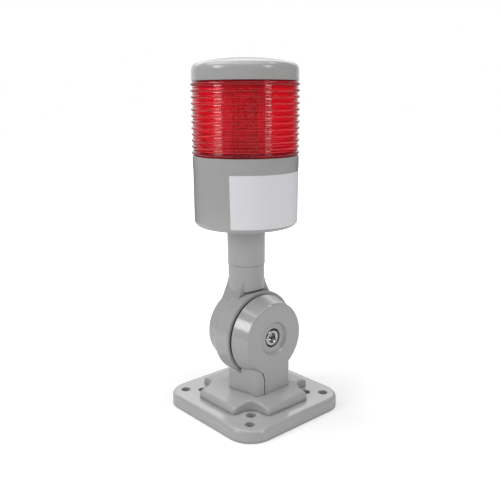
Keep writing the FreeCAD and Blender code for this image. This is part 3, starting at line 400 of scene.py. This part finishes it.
def make_rub_group():
    """Hair-fine scratches and rub marks that change the gloss."""
    tree, ins, outs = new_group("rub_marks", {"Density": ("Float", 1.0)}, {"Mask": "Float"})
    where = millimetres(tree)
    marks = []
    for turn in STREAK_TURNS:
        along = put(tree, "Mapping", {"Vector": where, "Rotation": turn, "Scale": STREAK_SCALE})
        streak = noise(tree, along.outputs[0], ins["Density"], Detail=4.0, Roughness=0.7)
        marks.append(ramp(tree, streak, start=0.58, end=0.72))
    tree.links.new(maths(tree, "MAXIMUM", *marks), outs["Mask"])
    return tree


def make_turning_group():
    """Rings left by the lathe about the pivot bolt's axis."""
    tree, ins, outs = new_group("turning_rings", {"Pitch": ("Float", 0.12)}, {"Height": "Float"})
    apart = put(tree, "SeparateXYZ", {0: millimetres(tree)}).outputs
    rise = maths(tree, "SUBTRACT", apart["Z"], PIVOT_HEIGHT)
    squares = [maths(tree, "MULTIPLY", length, length) for length in (apart["Y"], rise)]
    radius = maths(tree, "SQRT", maths(tree, "ADD", *squares))
    turns = maths(tree, "DIVIDE", radius, ins["Pitch"])
    wave = maths(tree, "SINE", maths(tree, "MULTIPLY", turns, 2 * math.pi))
    tree.links.new(wave, outs["Height"])
    return tree


GRAIN = make_grain_group()
SEAM_SHADE = make_seam_shade_group()
EDGE = make_edge_group()
RUBS = make_rub_group()
TURNING = make_turning_group()


# Materials

EDGE_WEAR_AND_HIGHLIGHT = 0.12
WEAR_AND_HIGHLIGHT_TONE = 1.35
SEAM_DULLNESS = 0.3
TRACE_SCALE = 0.45
TRACE_SHOW = 0.6
RESISTOR_LENGTH = 6.0
BAND_STARTS = (0.25, 0.45, 0.66)
BAND_WIDTH = 0.08


def new_material(name, **values):
    """A material with its shader's plain values set; returns it with its nodes."""
    material = bpy.data.materials.new(name)
    material.use_nodes = True
    tree = material.node_tree
    shader = tree.nodes["Principled BSDF"]
    for socket, value in values.items():
        shader.inputs[socket.replace("_", " ")].default_value = value
    return material, tree, shader


def connect(tree, shader, colour, roughness, normal=None):
    """Leads a colour, a roughness and, where there is one, a normal into the shader."""
    tree.links.new(colour, shader.inputs["Base Color"])
    tree.links.new(roughness, shader.inputs["Roughness"])
    if normal is not None:
        tree.links.new(normal, shader.inputs["Normal"])


def rubbed(tree, roughness, density, amount):
    """A roughness with rub marks of the given amount added."""
    marks = put_group(tree, RUBS, Density=density)
    return maths(tree, "ADD", roughness, maths(tree, "MULTIPLY", marks["Mask"], amount))


def moulded(name, colour, roughness, tone=0.04, grain=0.3, bump=0.02, seam_shade=0.5, **values):
    """Moulded plastic: grain, gloss drift, soft edges painted lighter as wear and as a painted highlight,
    and seams dulled and darkened with painted shade.
    """
    material, tree, shader = new_material(name, **values)
    surface = put_group(tree, GRAIN, Colour=colour + (1,), Tone=tone, Roughness=roughness,
                        Gloss_Drift=0.06, Grain_Size=grain)
    edge = put_group(tree, EDGE, Radius=0.35)
    # Wear and painted highlight: every edge is painted lighter all round.
    worn_and_highlight = tuple(min(1.0, level * WEAR_AND_HIGHLIGHT_TONE) for level in colour) + (1,)
    lighter = blend(tree, maths(tree, "MULTIPLY", edge["Mask"], EDGE_WEAR_AND_HIGHLIGHT), surface["Colour"], worn_and_highlight)
    # Painted shade: ambient occlusion darkens the colour towards near black in corners, seams and
    # recesses.
    seam = put_group(tree, SEAM_SHADE, Colour=lighter, Dust=(0.08, 0.08, 0.08, 1), Amount=seam_shade, Reach=2.2)
    gloss = rubbed(tree, surface["Roughness"], density=1.0, amount=0.04)
    gloss = maths(tree, "ADD", gloss, maths(tree, "MULTIPLY", seam["Mask"], SEAM_DULLNESS))
    normal = relief(tree, surface["Height"], strength=bump, depth=0.1, Normal=edge["Normal"])
    connect(tree, shader, seam["Colour"], gloss, normal)
    return material


def metal(name, colour, roughness):
    """Turned and plated metal: lathe rings, rub marks and painted shade in the corners."""
    material, tree, shader = new_material(name, Metallic=1.0)
    surface = put_group(tree, GRAIN, Colour=colour + (1,), Tone=0.08, Roughness=roughness,
                        Gloss_Drift=0.08, Grain_Size=0.15)
    # Painted shade: ambient occlusion darkens the corners.
    seam = put_group(tree, SEAM_SHADE, Colour=surface["Colour"], Dust=(0.05, 0.045, 0.04, 1), Amount=0.3,
                     Reach=0.8)
    edge = put_group(tree, EDGE, Radius=0.15)
    gloss = rubbed(tree, surface["Roughness"], density=2.0, amount=0.12)
    rings = put_group(tree, TURNING, Pitch=0.12)
    normal = relief(tree, rings["Height"], strength=0.15, depth=0.01, Normal=edge["Normal"])
    connect(tree, shader, seam["Colour"], gloss, normal)
    return material


def clear_red():
    """Clear red plastic of the lens, polished, with faint rub marks."""
    material, tree, shader = new_material("red_lens", IOR=1.4, Transmission_Weight=0.85, Coat_Weight=1.0,
                                          Coat_Roughness=0.03, Coat_IOR=1.57)
    surface = put_group(tree, GRAIN, Colour=(1.0, 0.006, 0.035, 1), Tone=0.05, Roughness=0.05,
                        Gloss_Drift=0.03, Grain_Size=0.6)
    gloss = rubbed(tree, surface["Roughness"], density=1.5, amount=0.05)
    normal = relief(tree, surface["Height"], strength=0.004, depth=0.1)
    connect(tree, shader, surface["Colour"], gloss, normal)
    return material


def label_paper():
    """White label stock with a faint mottle, left blank."""
    material, tree, shader = new_material("label_film")
    surface = put_group(tree, GRAIN, Colour=(0.95, 0.945, 0.985, 1), Tone=0.03, Roughness=0.38,
                        Gloss_Drift=0.1, Grain_Size=0.12)
    # Painted shade: ambient occlusion greys the label where it meets the cup.
    seam = put_group(tree, SEAM_SHADE, Colour=surface["Colour"], Dust=(0.45, 0.45, 0.46, 1), Amount=0.25,
                     Reach=0.5)
    normal = relief(tree, surface["Height"], strength=0.06, depth=0.05)
    connect(tree, shader, seam["Colour"], surface["Roughness"], normal)
    return material


def board_mask():
    """Green solder mask with copper traces that show through as lighter lines."""
    material, tree, shader = new_material("circuit_board", Coat_Weight=0.4, Coat_Roughness=0.1)
    surface = put_group(tree, GRAIN, Colour=(0.012, 0.07, 0.03, 1), Tone=0.2, Roughness=0.35,
                        Gloss_Drift=0.1, Grain_Size=0.2)
    cells = put(tree, "TexVoronoi", {"Vector": millimetres(tree), "Scale": TRACE_SCALE},
                distance="CHEBYCHEV").outputs["Distance"]
    trace = ramp(tree, cells, start=0.42, end=0.46)
    shown = maths(tree, "MULTIPLY", trace, TRACE_SHOW)
    colour = blend(tree, shown, surface["Colour"], (0.03, 0.16, 0.06, 1))
    connect(tree, shader, colour, surface["Roughness"], relief(tree, trace, strength=0.3, depth=0.05))
    return material


def banded_resistor():
    """Lacquered resistor bodies with plain colour bands across them."""
    material, tree, shader = new_material("resistor_body", Coat_Weight=0.3, Coat_Roughness=0.15)
    surface = put_group(tree, GRAIN, Colour=(0.27, 0.42, 0.55, 1), Tone=0.1, Roughness=0.3,
                        Gloss_Drift=0.1, Grain_Size=0.3)
    where = put(tree, "SeparateXYZ", {0: millimetres(tree)}).outputs
    along = maths(tree, "FRACT", maths(tree, "DIVIDE", where["Y"], RESISTOR_LENGTH))
    bands = put(tree, "ValToRGB", {0: along})
    stops = bands.color_ramp.elements
    bands.color_ramp.interpolation = "CONSTANT"
    for start in BAND_STARTS:
        stops.new(start).color = (1, 1, 1, 1)
        stops.new(start + BAND_WIDTH).color = (0, 0, 0, 1)
    stops[0].color = (0, 0, 0, 1)
    stops[-1].color = (0, 0, 0, 1)
    colour = blend(tree, bands.outputs[0], surface["Colour"], (0.25, 0.05, 0.01, 1))
    connect(tree, shader, colour, surface["Roughness"])
    return material


grey_abs = moulded("grey_abs", (0.5, 0.5, 0.497), 0.2, Coat_Weight=0.5, Coat_Roughness=0.07)
friction_nylon = moulded("friction_nylon", (0.3, 0.3, 0.3), 0.5)
white_plastic = moulded("white_plastic", (0.72, 0.72, 0.68), 0.4, seam_shade=0.2)
black_plastic = moulded("black_plastic", (0.02, 0.02, 0.022), 0.4)
terminal_plastic = moulded("terminal_plastic", (0.02, 0.16, 0.07), 0.4)
seal_rubber = moulded("seal_rubber", (0.02, 0.02, 0.02), 0.6, grain=0.2, bump=0.05)
phosphor = moulded("phosphor_gel", (0.75, 0.62, 0.12), 0.25, seam_shade=0.0, tone=0.1)
capacitor_can = moulded("capacitor_can", (0.03, 0.035, 0.07), 0.3, grain=0.4)
bolt_steel = metal("bolt_steel", (0.62, 0.62, 0.63), 0.2)
zinc_steel = metal("zinc_steel", (0.56, 0.57, 0.58), 0.3)
brass_nut = metal("brass_nut", (0.7, 0.5, 0.2), 0.28)
red_lens = clear_red()
label_film = label_paper()
circuit_board = board_mask()
resistor_body = banded_resistor()


# Lens and cap

def lens_rib(middle):
    """Corners of one rib, from its lower foot over its crest to its upper foot."""
    crest = LENS_VALLEY + RIB_HEIGHT
    return [(LENS_VALLEY, middle - RIB_FOOT_BELOW, RIB_FOOT_ROUND),
            (crest, middle - RIB_CREST, RIB_CREST_ROUND),
            (crest, middle + RIB_CREST, RIB_CREST_ROUND),
            (LENS_VALLEY, middle + RIB_FOOT_ABOVE, RIB_FOOT_ROUND)]


def lens_piece():
    """Ribbed outside, upright flutes inside, and the skirt that plugs into the body."""
    pitch = (LENS_TOP_Z - BODY_TOP_Z) / LENS_RIBS
    outside = [(LENS_VALLEY, BODY_TOP_Z)]
    for i in range(LENS_RIBS):
        middle = BODY_TOP_Z + (i + 0.5) * pitch
        outside += lens_rib(middle)
        if i < LENS_RIBS - 1:
            outside.append((LENS_VALLEY + VALLEY_SWELL, middle + VALLEY_MIDDLE, VALLEY_ROUND))
    outside.append((LENS_VALLEY, LENS_TOP_Z))
    skirt_out = BODY_TOP_RADIUS - BODY_WALL - SKIRT_GAP
    skirt_in = skirt_out - SKIRT_WALL
    skirt_foot = BODY_TOP_Z - SKIRT_HEIGHT
    inside = [Vector(point) for point in (
        (LENS_BORE, LENS_TOP_Z), (LENS_BORE, BODY_TOP_Z + LENS_BORE_RISE),
        (skirt_in, BODY_TOP_Z), (skirt_in, skirt_foot), (skirt_out, skirt_foot), (skirt_out, BODY_TOP_Z))]

    def flutes(point, angle, k):
        """Moves every second point of the bore out."""
        return FLUTE_DEPTH if abs(point.x - LENS_BORE) < SAME and k % 2 else 0.0

    bm = bmesh.new()
    turned(bm, rounded(outside, LENS_ARC_STEPS) + inside, 2 * LENS_FLUTES, shift=flutes)
    finished("ribbed_lens", bm, red_lens, stands_for=["lens"])


def cap_piece():
    """Shallow dome on a short round skirt, hollow, with the ring that clips into the lens."""
    dome_radius = (CAP_RADIUS ** 2 + CAP_DOME_RISE ** 2) / (2 * CAP_DOME_RISE)
    dome_centre = (0, CAP_TOP_Z - dome_radius)
    edge_z = CAP_TOP_Z - CAP_DOME_RISE
    foot = rounded([(CAP_SKIRT_RADIUS, LENS_TOP_Z), (CAP_RADIUS, LENS_TOP_Z, CAP_FOOT_EASE),
                    (CAP_RADIUS, edge_z)], CAP_ARC_STEPS)[:-1]
    # The shoulder's arc meets the upright wall and the dome without a crease.
    turn_radius = CAP_RADIUS - CAP_SHOULDER
    reach = dome_radius - CAP_SHOULDER
    lean = math.asin(turn_radius / reach)
    turn_centre = (turn_radius, CAP_TOP_Z - dome_radius + reach * math.cos(lean))
    upward = math.pi / 2
    shoulder = arc(turn_centre, CAP_SHOULDER, 0, upward - lean, CAP_SHOULDER_STEPS)
    dome = arc(dome_centre, dome_radius, upward - lean, upward, CAP_DOME_STEPS)[1:]
    wall = CAP_RADIUS - CAP_SIDE_WALL
    hollow_foot = LENS_TOP_Z + CAP_WALL
    skirt_in = CAP_SKIRT_RADIUS - CAP_SKIRT_WALL
    skirt_foot = LENS_TOP_Z - CAP_SKIRT_HEIGHT
    inside = [Vector(point) for point in (
        (0, CAP_TOP_Z - CAP_WALL), (CAP_HOLLOW_BEND, CAP_TOP_Z - 2 * CAP_WALL),
        (wall, edge_z - CAP_SHOULDER), (wall, hollow_foot), (skirt_in, hollow_foot),
        (skirt_in, skirt_foot), (CAP_SKIRT_RADIUS - CAP_SKIRT_TAPER, skirt_foot))]
    bm = bmesh.new()
    turned(bm, foot + shoulder + dome + inside)
    finished("domed_cap", bm, grey_abs, stands_for=["cap"])


# Lamp body and its label

def body_radius(z):
    """Outside radius of the cup's drafted wall at a height."""
    share = (z - BODY_BOTTOM_Z) / (BODY_LIP_Z - BODY_BOTTOM_Z)
    return BODY_BOTTOM_RADIUS + share * (BODY_TOP_RADIUS - BODY_LIP_STEP - BODY_BOTTOM_RADIUS)


def body_piece():
    """Cup with a soft bottom edge, a faint band at its rim, and the neck under it."""
    neck_end = NECK_SEAM_Z + NECK_SEAM_GAP
    mouth = BODY_TOP_RADIUS - BODY_WALL
    inner = BODY_BOTTOM_RADIUS - BODY_WALL
    ledge_top = BODY_TOP_Z - LEDGE_DROP
    ledge_foot = ledge_top - LEDGE_HEIGHT
    corners = [(NECK_BORE, neck_end),
               (NECK_RADIUS, neck_end, NECK_SEAM_EASE),
               (NECK_RADIUS, BODY_BOTTOM_Z, NECK_FILLET),
               (BODY_BOTTOM_RADIUS, BODY_BOTTOM_Z, BODY_BOTTOM_ROUND),
               (BODY_TOP_RADIUS - BODY_LIP_STEP, BODY_LIP_Z, BODY_LIP_EASE),
               (BODY_TOP_RADIUS, BODY_LIP_Z + BODY_LIP_STEP, BODY_LIP_EASE),
               (BODY_TOP_RADIUS, BODY_TOP_Z, BODY_TOP_EASE),
               (mouth, BODY_TOP_Z),
               (mouth, ledge_top),
               (mouth - LEDGE_DEPTH, ledge_top),
               (mouth - LEDGE_DEPTH, ledge_foot),
               (inner, ledge_foot - LEDGE_SLOPE),
               (inner, BODY_FLOOR_Z, BODY_FLOOR_ROUND),
               (NECK_BORE, BODY_FLOOR_Z)]
    bm = bmesh.new()
    turned(bm, rounded(corners, BODY_ARC_STEPS))
    finished("lamp_cup", bm, grey_abs, stands_for=["lamp_body"])


def label_point(along, up, lift):
    """A point of the label from its shares of the way round and up, lifted off the cup."""
    start = LABEL_START_DEG - LABEL_SLANT_DEG * (up - 0.5)
    angle = math.radians(start + along * (LABEL_END_DEG - start))
    z = LABEL_BOTTOM_Z + up * (LABEL_TOP_Z - LABEL_BOTTOM_Z)
    tuck = LABEL_TUCK if z < LABEL_ROUND_Z else 0.0
    return on_tube(body_radius(max(z, LABEL_ROUND_Z)) + lift - tuck, angle, z)


def label_sheet(bm, lift):
    """One side of the label, as columns of points from its lower to its upper edge."""
    sheet = []
    for i in range(LABEL_COLUMNS + 1):
        column = [label_point(i / LABEL_COLUMNS, j / LABEL_ROWS, lift) for j in range(LABEL_ROWS + 1)]
        sheet.append([bm.verts.new(point) for point in column])
    return sheet


def label_piece():
    """Thin film wrapped part way round the cup, its left end not quite upright."""
    columns, rows = LABEL_COLUMNS, LABEL_ROWS
    bm = bmesh.new()
    inner = label_sheet(bm, 0.0)
    outer = label_sheet(bm, LABEL_THICKNESS)
    for i in range(columns):
        for j in range(rows):
            bm.faces.new((outer[i][j], outer[i + 1][j], outer[i + 1][j + 1], outer[i][j + 1]))
            bm.faces.new((inner[i][j], inner[i][j + 1], inner[i + 1][j + 1], inner[i + 1][j]))
    border = ([(i, 0) for i in range(columns)] + [(columns, j) for j in range(rows)]
              + [(i, rows) for i in range(columns, 0, -1)] + [(0, j) for j in range(rows, 0, -1)])
    for (i, j), (m, n) in zip(border, border[1:] + border[:1]):
        bm.faces.new((inner[i][j], inner[m][n], outer[m][n], outer[i][j]))
    finished("label", bm, label_film, stands_for=["blank_label"])


# Pivot bolt

def bolt_piece():
    """Cap screw: knurled head with a round socket, plain shank and threaded end."""
    face = BOLT_HEAD_FACE_X
    seat = face - BOLT_HEAD_HEIGHT
    socket = [Vector((radius, face - depth)) for radius, depth in SOCKET_PROFILE]
    head = rounded([(BOLT_RADIUS, seat), (BOLT_HEAD_RADIUS, seat, BOLT_HEAD_FOOT_EASE),
                    (BOLT_HEAD_RADIUS, face - BOLT_HEAD_ROUND_DROP),
                    (BOLT_HEAD_RADIUS - BOLT_HEAD_DRAFT, face, BOLT_HEAD_ROUND), socket[0]],
                   BOLT_ARC_STEPS)
    thread_length = THREAD_START_X - BOLT_END_X - BOLT_END_EASE
    thread = [Vector((BOLT_RADIUS, THREAD_START_X - thread_length * k / THREAD_STEPS))
              for k in range(THREAD_STEPS, -1, -1)]
    end = [Vector((0, BOLT_END_X)), Vector((BOLT_END_RADIUS, BOLT_END_X))]

    def knurl_and_thread(point, angle, k):
        """Moves points in for the knurls' gaps and along the thread's helix."""
        on_head = abs(point.x - BOLT_HEAD_RADIUS) < BOLT_HEAD_DRAFT / 2
        if on_head and seat + KNURL_FOOT < point.y < face - KNURL_STOP:
            return 0.0 if k % KNURL_STEP < KNURL_STEP / 2 else -KNURL_DEPTH
        if abs(point.x - BOLT_RADIUS) < SAME and point.y <= THREAD_START_X:
            turn = (point.y / THREAD_PITCH + angle / (2 * math.pi)) % 1.0
            return -THREAD_DEPTH * abs(2 * turn - 1)
        return 0.0

    bm = bmesh.new()
    turned(bm, end + thread + head + socket[1:], closed=False, shift=knurl_and_thread, place=on_pivot)
    finished("cap_screw", bm, bolt_steel, stands_for=["pivot_bolt"])


# Emitters on the upright boards

def window_ring(bm, turn, z, radius, rise):
    """A ring of points about an emitter's middle, at a rise over its face."""
    out = LED_FACE - LED_SUNK + rise
    ring = []
    for k in range(WINDOW_SEGMENTS):
        angle = 2 * math.pi * k / WINDOW_SEGMENTS
        across = radius * math.cos(angle)
        x = TUBE_X + (out * math.cos(turn) - across * math.sin(turn))
        y = out * math.sin(turn) + across * math.cos(turn)
        ring.append(bm.verts.new((x, y, z + radius * math.sin(angle))))
    return ring


def emitter_windows():
    """Round gel windows in the emitters."""
    low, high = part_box("led_row_1")
    first = low.z / MM + LED_HALF_SIDE
    last = high.z / MM - LED_HALF_SIDE
    bm = bmesh.new()
    for side in range(BOARD_COUNT):
        turn = 2 * math.pi / BOARD_COUNT * side
        for i in range(LED_COUNT):
            z = first + (last - first) * i / (LED_COUNT - 1)
            rings = [window_ring(bm, turn, z, radius, rise) for radius, rise in WINDOW_PROFILE]
            for near, far in zip(rings, rings[1:]):
                for k in range(WINDOW_SEGMENTS):
                    following = (k + 1) % WINDOW_SEGMENTS
                    bm.faces.new((near[k], near[following], far[following], far[k]))
            bm.faces.new(rings[-1])
            bm.faces.new(rings[0][::-1])
    finished("emitter_windows", bm, phosphor)


lens_piece()
cap_piece()
body_piece()
label_piece()
bolt_piece()
emitter_windows()


# Finish of the solids

led_boards = ["led_board_%d" % i for i in range(1, BOARD_COUNT + 1)]
led_rows = ["led_row_%d" % i for i in range(1, BOARD_COUNT + 1)]
FINISHES = (
    (grey_abs, ["base_plate", "wire_cover", "tilt_arm", "cap", "lamp_body"]),
    (friction_nylon, ["friction_ring"]),
    (bolt_steel, ["pivot_bolt"]),
    (zinc_steel, ["spring_washer", "bolt_washer", "lock_nut", "neck_washer", "board_screws"]),
    (brass_nut, ["neck_nut"]),
    (label_film, ["blank_label"]),
    (seal_rubber, ["lens_seal", "cap_seal"]),
    (red_lens, ["lens"]),
    (circuit_board, ["driver_board"] + led_boards),
    (terminal_plastic, ["terminal_block"]),
    (capacitor_can, ["capacitor"]),
    (black_plastic, ["rectifier"]),
    (resistor_body, ["resistors"]),
    (white_plastic, ["led_carrier"] + led_rows),
)
for material, names in FINISHES:
    for name in names:
        nodes[name].data.materials.clear()
        nodes[name].data.materials.append(material)


# Floor, backdrop and light, with lengths in metres

CAMERA_SIDE_DEG = -41.84
FLOOR_RADIUS = 3.0
FLOOR_PALE = (0.86, 0.86, 0.86, 1)
FLOOR_DARK = (0.04, 0.04, 0.04, 1)
FLOOR_GLOSS = 0.03
FLOOR_GLOW_LOW = 0.35
BACKDROP_TURN_DEG = 7
BACKDROP_LOW = 0.75
BACKDROP_HIGH = 1.9
ROOM_DIM = 0.05
ROOM_LIGHT = 0.26
LIGHT_AIM = Vector((0, 0, 0.09))
WHITE = (1, 1, 1, 1)


def ray_masks(tree):
    """Masks of what is seen straight or through the lens, and of what gloss sees."""
    path = put(tree, "LightPath").outputs
    clear = maths(tree, "MAXIMUM", path["Is Camera Ray"], path["Is Transmission Ray"])
    return clear, path["Is Glossy Ray"]


def make_floor():
    """Pale floor that glows into the white background away from the lamp."""
    bm = bmesh.new()
    bmesh.ops.create_circle(bm, cap_ends=True, segments=96, radius=FLOOR_RADIUS)
    mesh = bpy.data.meshes.new("floor")
    bm.to_mesh(mesh)
    bm.free()
    floor = add_object("floor", mesh)
    paint, tree, shader = new_material("floor_paint", Roughness=0.9, Specular_IOR_Level=0.1)
    mesh.materials.append(paint)
    clear, glossy = ray_masks(tree)
    where = put(tree, "TexCoord").outputs["Object"]
    away = put(tree, "VectorMath", {0: where}, operation="LENGTH").outputs["Value"]
    # The lamp's gloss sees a pale table round the base and a dark room past the table's edge.
    dark = maths(tree, "MULTIPLY", glossy, ramp(tree, away, start=0.36, end=0.47))
    tree.links.new(blend(tree, dark, FLOOR_PALE, FLOOR_DARK), shader.inputs["Base Color"])
    fade = ramp(tree, away, start=0.05, end=0.3, low=FLOOR_GLOW_LOW, high=1.0)
    shown = maths(tree, "MAXIMUM", clear, maths(tree, "MULTIPLY", glossy, FLOOR_GLOSS))
    shader.inputs["Emission Color"].default_value = WHITE
    tree.links.new(maths(tree, "MULTIPLY", fade, shown), shader.inputs["Emission Strength"])


def make_world():
    """White to the camera and the lens, a backdrop in a dark room to gloss, and dim to all else."""
    world = bpy.data.worlds.new("studio")
    bpy.context.scene.world = world
    world.use_nodes = True
    tree = world.node_tree
    background = tree.nodes["Background"]
    background.inputs["Color"].default_value = WHITE
    side = math.radians(CAMERA_SIDE_DEG + BACKDROP_TURN_DEG)
    where = put(tree, "TexCoord").outputs["Generated"]
    towards = dot(tree, where, (math.cos(side), math.sin(side), 0.0))
    rise = put(tree, "SeparateXYZ", {0: where}).outputs["Z"]
    backdrop = ramp(tree, rise, start=0.3, end=0.45, low=BACKDROP_LOW, high=BACKDROP_HIGH)
    room = ramp(tree, towards, start=-0.84, end=-0.55, low=backdrop, high=ROOM_DIM)
    clear, glossy = ray_masks(tree)
    gloss = maths(tree, "MULTIPLY", glossy, maths(tree, "SUBTRACT", 1.0, clear))
    shown = maths(tree, "ADD", clear, maths(tree, "MULTIPLY", gloss, room))
    others = maths(tree, "SUBTRACT", 1.0, maths(tree, "ADD", clear, gloss))
    strength = maths(tree, "ADD", shown, maths(tree, "MULTIPLY", others, ROOM_LIGHT))
    tree.links.new(strength, background.inputs["Strength"])


def soft_box(name, azimuth, elevation, distance, width, tall, glow):
    """Soft box aimed at the lamp; azimuth is from the camera's side and glow is its brightness."""
    data = bpy.data.lights.new(name, "AREA")
    data.shape = "RECTANGLE"
    data.size = width
    data.size_y = tall
    data.energy = glow * math.pi * width * tall
    turn = math.radians(CAMERA_SIDE_DEG + azimuth)
    rise = math.radians(elevation)
    away = Vector((math.cos(turn) * math.cos(rise), math.sin(turn) * math.cos(rise), math.sin(rise)))
    box = add_object(name, data)
    box.location = LIGHT_AIM + away * distance
    box.rotation_euler = (-away).to_track_quat("-Z", "Y").to_euler()


make_floor()
make_world()
soft_box("left_box", azimuth=-62, elevation=28, distance=1.0, width=0.3, tall=0.42, glow=6.5)
soft_box("right_box", azimuth=52, elevation=28, distance=1.0, width=0.22, tall=0.42, glow=5.9)
soft_box("left_top_box", azimuth=-110, elevation=60, distance=1.0, width=0.5, tall=0.5, glow=2.6)
soft_box("right_top_box", azimuth=112, elevation=62, distance=1.0, width=0.16, tall=0.16, glow=6.0)
soft_box("ceiling_box", azimuth=0, elevation=86, distance=1.2, width=0.9, tall=0.9, glow=1.5)


# Camera at the photograph's place

CAMERA_PLACE = Vector((0.2395, -0.2144, 0.1606))
CAMERA_BEARING_DEG = 48.48
CAMERA_PITCH_DEG = 13.27
CAMERA_ROLL_DEG = -0.28
FOCAL_LENGTH_PIXELS = 643.2
PHOTO_WIDTH_PIXELS = 500
SENSOR_WIDTH = 36


def make_camera():
    """Camera that looks at the lamp as the photograph does."""
    bearing = math.radians(CAMERA_BEARING_DEG)
    pitch = math.radians(CAMERA_PITCH_DEG)
    roll = math.radians(CAMERA_ROLL_DEG)
    forward = Vector((-math.sin(bearing) * math.cos(pitch), math.cos(bearing) * math.cos(pitch),
                      -math.sin(pitch)))
    level = forward.cross(Vector((0, 0, 1))).normalized()
    upright = level.cross(forward)
    right = level * math.cos(roll) + upright * math.sin(roll)
    up = upright * math.cos(roll) - level * math.sin(roll)
    data = bpy.data.cameras.new("camera")
    data.sensor_width = SENSOR_WIDTH
    data.lens = FOCAL_LENGTH_PIXELS * SENSOR_WIDTH / PHOTO_WIDTH_PIXELS
    data.clip_start = 0.01
    camera = add_object("camera", data)
    turn = Matrix((right, up, -forward)).transposed()
    camera.matrix_world = Matrix.Translation(CAMERA_PLACE) @ turn.to_4x4()
    bpy.context.scene.camera = camera


make_camera()
bpy.context.scene.view_settings.view_transform = "Standard"
